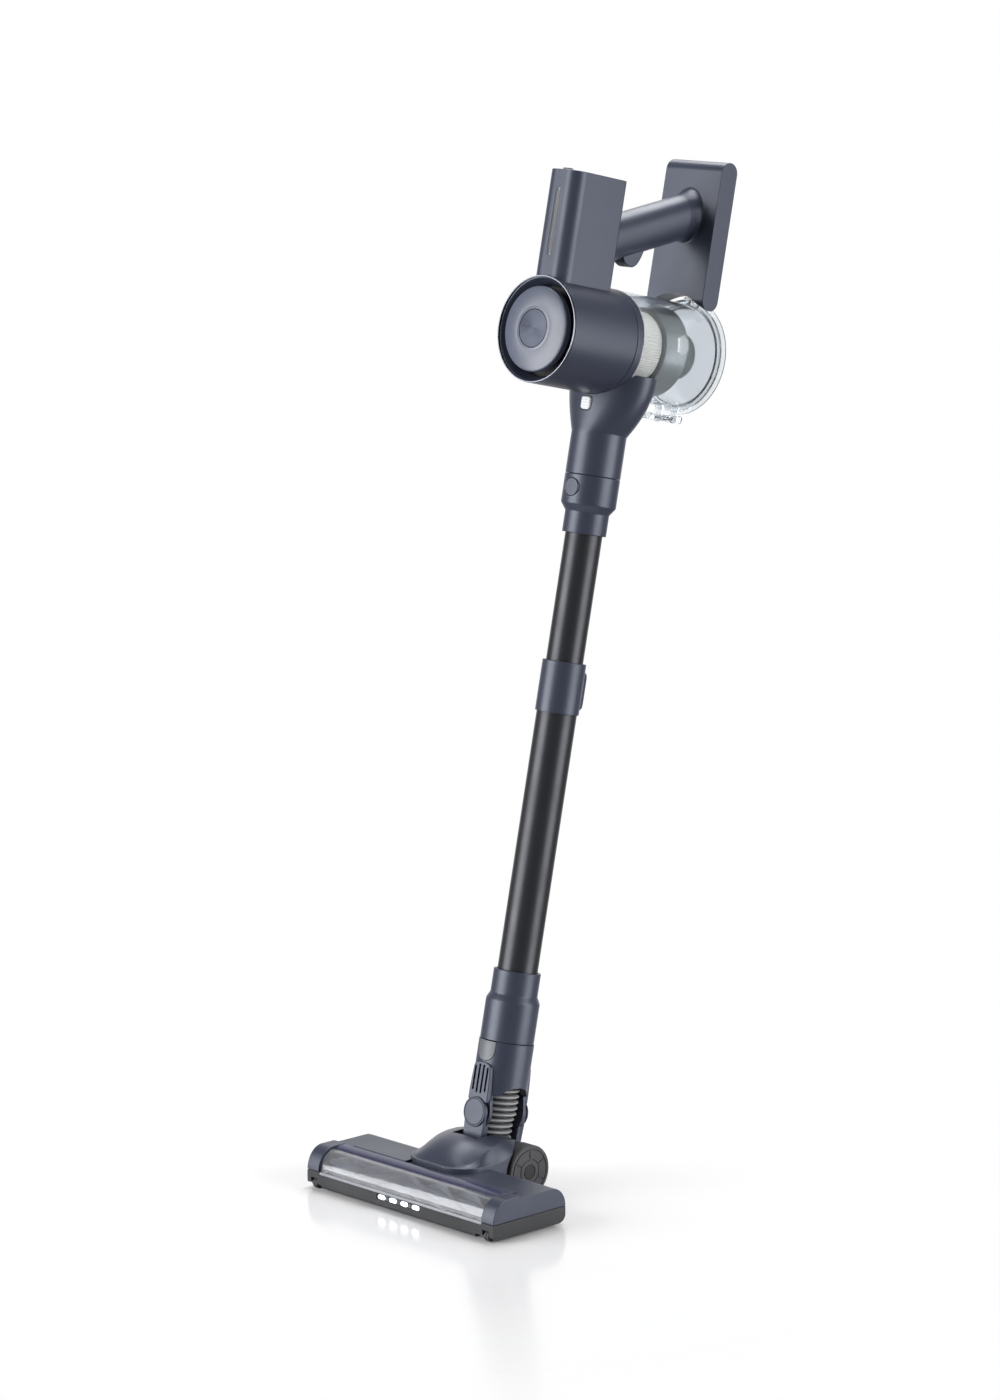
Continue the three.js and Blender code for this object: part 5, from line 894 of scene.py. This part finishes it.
yoke = Span("yoke")
BASE_TOP, LEG_TOP, LEG_FOOT = -38.0, 12.5, 10.8
below = BASE_TOP - 1
arm = arc((0, 0), EYE_R, 0, 180, 32) + [(-LEG_FOOT, below), (LEG_FOOT, below)]
legs = [(-LEG_TOP, -8), (-LEG_FOOT, below), (LEG_FOOT, below), (LEG_TOP, -8)]
piece = pill("yoke_body", 30.4, 53, 8, (0, 0), "z", yoke.lo.z, BASE_TOP, 8)
for side in (-1, 1):
    eye = prism("arm", arm, "y", *mirror(side, EYE_IN, 27))
    bevel(eye, 0.8)
    merge(piece, eye)
    leg = prism("leg", legs, "y", *mirror(side, 19.9, 26))
    carve(leg, disc("cradle", 16.3, *mirror(side, 0, EYE_IN), edge=BARE))
    merge(piece, leg)
merge(piece, disc("cross", 5, -19.6, 19.6, "x", (0, 10, -46.9)))
carve(piece, disc("bore", 12, yoke.lo.z - 8, -30, "z"))
on_wand(piece, SHELL, "yoke_joint", ["yoke"], smooth=35)

hose = Span("flexible_hose")
HOSE_DEEP, HOSE_FOOT = hose.hi.y, 15.2
HOSE_WALL, RIB_DEPTH, RIB = 4.0, 3.4, 5.6
SIDES, PER_RIB = 84, 12
hose_length = hose.hi.z - hose.lo.z
rows = int(hose_length / RIB * PER_RIB)
verts, faces = [], []
for outside in (True, False):
    for row in range(rows + 1):
        height = hose.lo.z + hose_length * row / rows
        cuff = min(row, rows - row) / PER_RIB <= 0.4
        spread = min(1, max(0, (height + 8) / 10))
        wide = HOSE_FOOT + (HOSE_DEEP - HOSE_FOOT) * spread * spread * (3 - 2 * spread)
        for i in range(SIDES):
            turn = TURN * i / SIDES
            crest = 0.5 + 0.5 * math.cos(TURN * (height / RIB - turn / TURN))
            inset = HOSE_WALL
            if outside:
                inset = 2.6 if cuff else RIB_DEPTH - RIB_DEPTH * crest ** 0.7
            verts.append(((wide - inset) * math.cos(turn), (HOSE_DEEP - inset) * math.sin(turn), height))
INNER = (rows + 1) * SIDES
for first in [layer + row * SIDES for layer in (0, INNER) for row in range(rows)]:
    faces += band(first, first + SIDES, SIDES)
for first in (0, rows * SIDES):
    faces += band(first, INNER + first, SIDES)
piece = new_object("hose", verts, faces)
on_wand(piece, HOSE, None, ["flexible_hose"], smooth=60, weighted=False)
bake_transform(piece)


# ---- floor head: base, shell, end caps

rail = Span("window_rail", HEAD)
window = Span("brush_window", HEAD)
HALF = 125.0
FRONT, REAR = -45.5, 45.5
PARTING, TOP = 17.0, Span("head_shell", HEAD).hi.z
DECK = TOP - 2.4
ARCH_V = -27.5        # centre line of the arch over the brush
REAR_V, REAR_R = 28.5, 17        # the rear corner is a quarter ellipse
BRUSH = (0, -25.5, 18.0)


def bar_cut(name, half, front, back, foot, top):
    """A block as far to the left of the middle as to the right."""
    return block(name, (-half, front, foot), (half, back, top))


outline = [(REAR, PARTING + 0.25)] + arc((REAR_V, PARTING), (REAR_R, DECK - PARTING), 0, 90, 18)[1:]
outline += [(-15, DECK), (-15, PARTING + 0.25)]
piece = prism("head_shell_body", outline, "x", -HALF, HALF)
bevel(piece, 0.7, 3, 40)
carve(piece, bar_cut("sweep", 16.4, 38.8, 60, 10, TOP + 3))
carve(piece, bar_cut("front_cut", HALF + 1, -17, -12.05, 10, TOP + 1))
carve(piece, disc("brush_room", 16.6, -110.5, 110.5, "x", BRUSH))
carve(piece, bar_cut("motor_room", 111, -8, 30, 0, 27))
for left, right, back, drop in ((-98, -28, 12, 0), (48, 111, -1, 0.4)):
    deck = [(-11.9, DECK - 1), (-11.9, TOP - 0.5), (-11.2, TOP), (back - 3, TOP - drop), (back, DECK - 0.4),
            (back, DECK - 1)]
    step = prism("deck", deck, "x", left, right)
    bevel(step, 0.35, 2, 40)
    merge(piece, step)
on_head(piece, SHELL, "head", ["head_shell"])

arch = arc((ARCH_V, PARTING), (17.95, TOP - PARTING), 90, 180, 24)[:-1]
arch += [(FRONT + 0.05, PARTING + 0.25), (-9, PARTING + 0.25), (-9, TOP)]
for word, side in BOTH_SIDES:
    piece = prism("end_cap_%s_arch" % word, arch, "x", *mirror(side, HALF - 0.05, 109.0))
    bevel(piece, 0.9, 4, 40)
    carve(piece, bar_cut("rear_cut", HALF + 1, -12.15, -5, 10, TOP + 1))
    carve(piece, disc("brush_room", 16.2, -112.5, 112.5, "x", BRUSH))
    on_head(piece, SHELL, "head", ["end_cap_" + word])

outline = [(FRONT, PARTING), (FRONT, 5)] + arc((FRONT + 3, 5), 3, 180, 270, 6)[1:]
outline += arc((REAR - 9, 9.5), (9, 7.5), 270, 360, 10) + [(REAR, PARTING)]
piece = prism("head_tray", outline, "x", -HALF, HALF)
bevel(piece, 0.8)
carve(piece, disc("brush_room", 16.6, -109.5, 109.5, "x", BRUSH))
carve(piece, bar_cut("mouth", 108.8, -40, -12, -3, 12))
carve(piece, bar_cut("inside", 121, -6, 41, 4.6, PARTING + 1))
carve(piece, block("rail_room", (rail.lo.x - 0.1, FRONT - 1, rail.lo.z - 0.3),
                   (rail.hi.x + 0.1, rail.hi.y + 0.2, PARTING + 1)))
for x in (-115, 115):
    carve(piece, block("notch", (x - 4.4, FRONT - 1, -1), (x + 4.4, -34, 11)))
    shallow = block("scoop", (x - 14, FRONT - 1, -1), (x + 10.2, -39.5, 6.2))
    bevel(shallow, 2.5, 4, 40)
    carve(piece, shallow)
carve(piece, bar_cut("lamp_slot", 29.6, FRONT - 1, FRONT + 4, 9.4, 14.2))
limb = [(36, 4.6), (36, 16.9), (52, 16.9), (58, 30)] + arc(AXLE[1:], 10, 140, -90, 20) + [(60, 9), (48, 4.6)]
for side in (-1, 1):
    arm = prism("limb", limb, "x", *mirror(side, 16.9, 26.2))
    bevel(arm, 0.8, 3, 40)
    merge(piece, arm)
for side in (-1, 1):
    carve(piece, disc("seat", 5.4, *mirror(side, 15, 20.2), "x", AXLE))
on_head(piece, BASE, "head", ["head_base"])

for word, side in BOTH_SIDES:
    axle, wheel = Span("axle_" + word, HEAD), Span("wheel_" + word, HEAD)
    inner, outer = sorted((abs(axle.lo.x), abs(axle.hi.x)))
    outer = min(outer, max(-wheel.lo.x, wheel.hi.x) - 2.9)
    piece = disc("axle_%s_pin" % word, 4, *mirror(side, inner, outer), "x", AXLE, 0.4, 32)
    on_head(piece, STEEL, "head", ["axle_" + word])


# ---- window, rail, lamps

def window_outline(inset):
    """The window's curved skin from the side, from its top edge to its foot."""
    outer = arc((ARCH_V, PARTING), (18 - inset, TOP - PARTING - inset), 90, 180, 28)[:-1]
    return [(-12.4, TOP - inset)] + outer + [(FRONT + inset, PARTING + 0.3)]


piece = prism("window", window_outline(2.6) + window_outline(4.2)[::-1], "x", window.lo.x, window.hi.x)
bevel(piece, 0.3, 2, 40)
on_head(piece, WINDOW, "head", ["brush_window"], smooth=40)

rim_x = window.hi.x - 0.1
rim = [(-12.4, TOP - 4.6), (-12.4, TOP - 0.6), (-14, TOP), (-18, TOP - 0.2), (-22.6, TOP - 0.9),
       (-25.6, TOP - 2.4), (-25.2, TOP - 3.7), (-22, TOP - 4.3)]
piece = prism("window_rim", rim, "x", -rim_x, rim_x)
bevel(piece, 0.9, 4, 25)
on_head(piece, TINTED, "head", slot="clear", smooth=50)

bars = []
for low, high, depth in ((rail.lo.z, rail.lo.z + 0.8, 0.0), (rail.lo.z + 1.05, rail.hi.z, 0.35)):
    middle = ((rail.lo.y * 2 + 4.6 + depth) / 2, (low + high) / 2)
    bars.append(pill("bar", 4.4 - depth, high - low, (high - low) * 0.45, middle, "x",
                     rail.lo.x + 0.3, rail.hi.x - 0.3, 4))
on_head(join("rail", bars), RAIL, "head", ["window_rail"], smooth=45)

bar = Span("led_bar", HEAD)
piece = pill("lamp_bar", 58, 4, 1.9, (0, bar.mid[2]), "y", bar.lo.y + 0.2, bar.hi.y, 8)
bevel(piece, 0.4)
on_head(piece, CLEAR, "head", ["led_bar"], smooth=40)
for index in range(4):
    middle = ((index - 1.5) * 15.2, bar.mid[2])
    piece = pill("lamp_%d" % (index + 1), 8.6, 3.4, 1.6, middle, "y", bar.lo.y, bar.lo.y + 0.8, 8)
    on_head(piece, LAMP, "head", slot="light", smooth=40)


# ---- brush

brush = Span("brush_roll", HEAD)
CORE_R = 8.5
LEFT, RIGHT = brush.lo.x, brush.hi.x
face = [(0, RIGHT), (2.5, RIGHT), (2.5, RIGHT - 4), (CORE_R, RIGHT - 4.2), (CORE_R, LEFT + 4.4),
        (8.6, LEFT + 4.2), (8.6, LEFT), (0, LEFT)]
on_head(lathe("brush_core", soften(face, 0.3), "x", BRUSH, 64), CORE, "brush", ["brush_roll"])

# Each tuft is a small box that leans and narrows outward. A flight of them winds outward from the middle.
TUFTS, FLIGHTS, WINDING = 190, 4, 0.62
TUFT_CORNERS = ((-1, -0.028), (1, -0.028), (1, 0.028), (-1, 0.028))
TUFT_FACES = ((0, 1, 5, 4), (1, 2, 6, 5), (2, 3, 7, 6), (3, 0, 4, 7), (4, 5, 6, 7), (3, 2, 1, 0))
chance = random.Random(7)
verts, faces = [], []
first, last = LEFT + 9, RIGHT - 6
for strip in range(FLIGHTS):
    for tuft in range(TUFTS):
        x = first + (last - first) * tuft / (TUFTS - 1)
        for row in (-1, 0, 1):
            turn = TURN * strip / FLIGHTS + TURN * WINDING * abs(x) / 100 + row * 0.07
            reach = 14.75 - 0.5 * chance.random()
            lean = 0.06 * (chance.random() - 0.5)
            start = len(verts)
            for radius, angle, half in ((CORE_R - 0.3, turn, 0.5), (reach, turn + lean, 0.3)):
                for sx, da in TUFT_CORNERS:
                    a = angle + da * CORE_R / radius
                    y, z = BRUSH[1] + radius * math.cos(a), BRUSH[2] + radius * math.sin(a)
                    verts.append((x + sx * half, y, z))
            faces += [[start + corner for corner in face] for face in TUFT_FACES]
mesh = bpy.data.meshes.new("bristles")
mesh.from_pydata(verts, [], faces)
on_head(add_object("bristles", mesh), BRISTLE, "brush", slot="brush", weighted=False)


# ---- dome over the joint

def between(table, value):
    """Reads a table of (place, number) rows, with straight lines between them."""
    for (a, left), (b, right) in zip(table, table[1:]):
        if value <= b:
            return left + (right - left) * max(0, value - a) / (b - a)
    return table[-1][1]


def smooth_table(table, value, reach):
    """The same, averaged over nine places around the value."""
    return sum(between(table, value + reach * k / 4) for k in range(-4, 5)) / 9


DOME_TOPS = [(-6, 41.5), (-3, 44.6), (1, 47.6), (6, 50.9), (12, 54.2), (20, 57.4), (28, 59.2), (36, 59.9),
             (48, 59.9), (60, 58.6), (70, 56.2), (80, 52), (90, 45), (99, 32)]
CREASE_X = [(-6, 13), (0, 27), (4, 31), (14, 34.4), (24, 35.2), (37, 35), (50, 33.4), (62, 31), (75, 28),
            (99, 22)]
CREASE_Z = [(-6, 41.4), (4, 41.6), (14, 43.8), (22, 47), (30, 50.4), (37, 53), (48, 55.4), (60, 56.2),
            (70, 54.6), (80, 50.6), (90, 43.6), (99, 31)]
RIM_Z = [(-6, 41.3), (10, 41), (30, 40.6), (46, 41), (56, 44), (66, 47.4), (80, 44.4), (99, 28)]
HALVES = [(21, 42), (56, 42), (66, 39.6), (76, 34), (86, 29), (99, 26)]
DOME_START, NOSE, NOSE_HALF = -6, 27, 15
NOSE_END = DOME_START + NOSE
CREASE_STEPS, TOP_STEPS = 8, 16
stations = [DOME_START + NOSE * (1 - math.cos(math.radians(a))) for a in range(0, 90, 6)]
stations += [NOSE_END + 3 * i for i in range(27)]
rings = []
for y in stations:
    half = smooth_table(HALVES, y, 3)
    if y < NOSE_END:
        half = NOSE_HALF + NOSE * math.sqrt(max(0, 1 - (1 - (y - DOME_START) / NOSE) ** 2))
    rim = smooth_table(RIM_Z, y, 3)
    crease_x = min(half - 1.6, between(CREASE_X, y))
    crease_z = max(rim + 0.05, smooth_table(CREASE_Z, y, 3))
    top = max(crease_z + 0.05, smooth_table(DOME_TOPS, y, 2))
    if not rings:
        rim = crease_z = top = 41.2
    foot = 35.6
    if y >= REAR_V:
        foot = PARTING + 19 * math.sqrt(max(0.1, 1 - ((y - REAR_V) / REAR_R) ** 2)) - 0.5
    side = [(half, foot), (half, rim - 0.8), (half - 0.25, rim - 0.2)]
    for k in range(1, CREASE_STEPS + 1):
        t = k / CREASE_STEPS
        side.append((half - 0.8 + (crease_x - half + 0.8) * t, rim + (crease_z - rim) * (t ** 0.8)))
    for k in range(1, TOP_STEPS + 1):
        x = crease_x * (1 - k / TOP_STEPS)
        side.append((x, top - (top - crease_z) * (x / crease_x) ** 2.3))
    rings.append([(x, y, z) for x, z in side + [(-x, z) for x, z in side[:-1]][::-1]])
piece = loft("dome", rings)
carve(piece, pill("slot", 32, 100, 3, (0, 86), "z", 0, 80))
carve(piece, disc("sweep", 39, -16, 16, "x", AXLE, 0.1))
carve(piece, prism("rear_step", [(45.7, 16), (120, 16), (120, 24), (45.7, 24)], "x", -60, 60))
for side in (-1, 1):
    carve(piece, disc("well", 27.2, *mirror(side, 26.7, 70), "x", AXLE, 0.1, 96))
on_head(piece, SHELL, "head", ["dome_cover"], smooth=34)


# ---- wheels and rollers

HUB_FACE = ((24.7, 0.7), (24.1, 0), (21.6, 0), (21.3, 0.9), (20.7, 0.9), (20.4, 0.1), (12.2, 0.1), (12, 0.7),
            (11.2, 0.7), (11, 0.1), (7.2, 0.1), (7, 0.8), (4.4, 0.8))        # radius, depth under the wheel's face
SPOKE_GAP = ((12.9, -0.7), (19.6, -0.7), (19.6, 0.7), (12.9, 0.7))
for word, side in BOTH_SIDES:
    span = Span("wheel_" + word, HEAD)
    near, far = (span.lo.x, span.hi.x) if side > 0 else (span.hi.x, span.lo.x)
    face = [(4.4, near), (20, near), (23.6, near + side * 0.6)]
    for k in range(9):
        x = near + side * (1.6 + 1.8 * k)
        face += [(24.95, x), (24.95, x + side * 1.1), (24.35, x + side * 1.25), (24.35, x + side * 1.65)]
    face += [(radius, far - side * depth) for radius, depth in HUB_FACE]
    tyre = lathe("wheel_%s_tyre" % word, face, "x", AXLE, closed=True)
    for k in range(6):
        turn = Matrix.Rotation(TURN * (k + 0.5) / 6, 4, "X")
        corners = [turn @ Vector((0, *corner)) + Vector(AXLE) for corner in SPOKE_GAP]
        carve(tyre, prism("cut", [corner.yz for corner in corners], "x", far - side * 0.75, far + side * 2))
    on_head(tyre, RUBBER, word + "_wheel", ["wheel_" + word], smooth=35)
    cap = disc("wheel_%s_tyre_cap" % word, 6.6, far - side * 2.4, far - side * 0.15, "x", AXLE, 0.9)
    on_head(cap, DARK, word + "_wheel", slot="wheel", smooth=50)

ROLLER = ((1.3, -2.8), (4.6, -2.8), (5, -2.4), (5, -0.5), (4.5, -0.3), (4.5, 0.3), (5, 0.5), (5, 2.4),
          (4.6, 2.8), (1.3, 2.8))
for word, _ in BOTH_SIDES:
    span = Span("roller_" + word, HEAD)
    face = [(radius, span.mid[0] + x) for radius, x in ROLLER]
    piece = lathe("roller_%s_wheel" % word, face, "x", (0, *span.mid[1:]), 48, closed=True)
    on_head(piece, RUBBER, word + "_roller", ["roller_" + word], smooth=40)


# ---- CAD nodes that keep their shape

KEPT = {
    "motor_mount": DARK, "suction_motor": STEEL, "impeller": DARK, "control_board": BOARD,
    "battery_cells": CELL, "brush_motor": STEEL, "motor_pulley": STEEL, "drive_belt": RUBBER,
}
for node, surface in KEPT.items():
    for slot in frame["nodes"][node].material_slots:
        slot.material = surface.material


# ---- floor, lights and camera

FLOOR_REACH = 1.6
FLOOR_SOLID, FLOOR_GONE = 0.26, 0.62
FLOOR_LIFT = 0.06
WHITE = (1, 1, 1, 1)


def stage_material():
    """Pale and a little glossy under the head, thinning out to the white world further away."""
    surface = Surface("floor_paper", (214, 214, 215), 0.14, Specular_IOR_Level=0.5, Emission_Color=WHITE)
    surface.mottle(0.012, 3)
    seen = surface.add("LightPath", {})["Is Camera Ray"]
    surface.feed(surface.inputs["Emission Strength"], surface.math("MULTIPLY", seen, FLOOR_LIFT))
    distance = surface.add("VectorMath", {0: surface.place}, operation="LENGTH")["Value"]
    fade = surface.ramp(distance, FLOOR_SOLID, FLOOR_GONE, 0, 1)
    bare = surface.add("BsdfTransparent", {})["BSDF"]
    mixed = surface.add("MixShader", {0: fade, 1: surface.shader.outputs["BSDF"], 2: bare})["Shader"]
    surface.feed(surface.tree.nodes["Material Output"].inputs["Surface"], mixed)
    return surface.material


corners = [(FLOOR_REACH * x, FLOOR_REACH * y, 0) for x, y in ((-1, -1), (1, -1), (1, 1), (-1, 1))]
floor = new_object("floor", corners, [(0, 1, 2, 3)])
floor.data.materials.append(stage_material())

# The world is white to the camera and through clear plastic, and much weaker as a light. Mirrored
# rays see it white only toward BACKDROP, the side that the photo's pale reflections come from.
WORLD_ON_OBJECT = 0.2
BACKDROP = (-0.69, 0.715, 0.1)
BACKDROP_EDGE = (0.72, 0.9)
world = bpy.data.worlds.new("studio")
bpy.context.scene.world = world
world.use_nodes = True
studio = Nodes(world.node_tree)
path = studio.add("LightPath", {})
seen = studio.math("MAXIMUM", path["Is Camera Ray"], path["Is Transmission Ray"])
direction = studio.add("TexCoord", {})["Generated"]
toward = studio.add("VectorMath", {0: direction, 1: BACKDROP}, operation="DOT_PRODUCT")["Value"]
mirrored = studio.math("MULTIPLY", path["Is Glossy Ray"], studio.ramp(toward, *BACKDROP_EDGE, 0, 1))
strength = studio.ramp(studio.math("MAXIMUM", seen, mirrored), 0, 1, WORLD_ON_OBJECT, 1)
background = world.node_tree.nodes["Background"]
studio.feed(background.inputs["Color"], WHITE)
studio.feed(background.inputs["Strength"], strength)

MIDDLE = Vector((0, 0.05, 0.5))


def lamp_area(name, place, size, power):
    light = bpy.data.lights.new(name, "AREA")
    light.shape = "RECTANGLE"
    light.size, light.size_y = size
    light.energy = power
    obj = add_object(name, light)
    obj.location = place
    obj.rotation_euler = (MIDDLE - Vector(place)).to_track_quat("-Z", "Y").to_euler()


lamp_area("left_soft", (-1.32, -2.6, 0.75), (2.2, 3.2), 168)
lamp_area("right_soft", (2.62, 1.26, 0.75), (2.0, 3.2), 112)
lamp_area("top_soft", (-0.5, 0.9, 2.5), (1.6, 1.6), 62)

CAMERA_DOWN, CAMERA_TURN = 10.68, 46.1
camera = add_object("camera", bpy.data.cameras.new("camera"))
camera.data.lens = 118.8
camera.data.sensor_width = 36
camera.location = (2.982, -2.7865, 1.2413)
camera.rotation_euler = (math.radians(90 - CAMERA_DOWN), 0, math.radians(CAMERA_TURN))
bpy.context.scene.camera = camera
bpy.context.scene.view_settings.view_transform = "Standard"
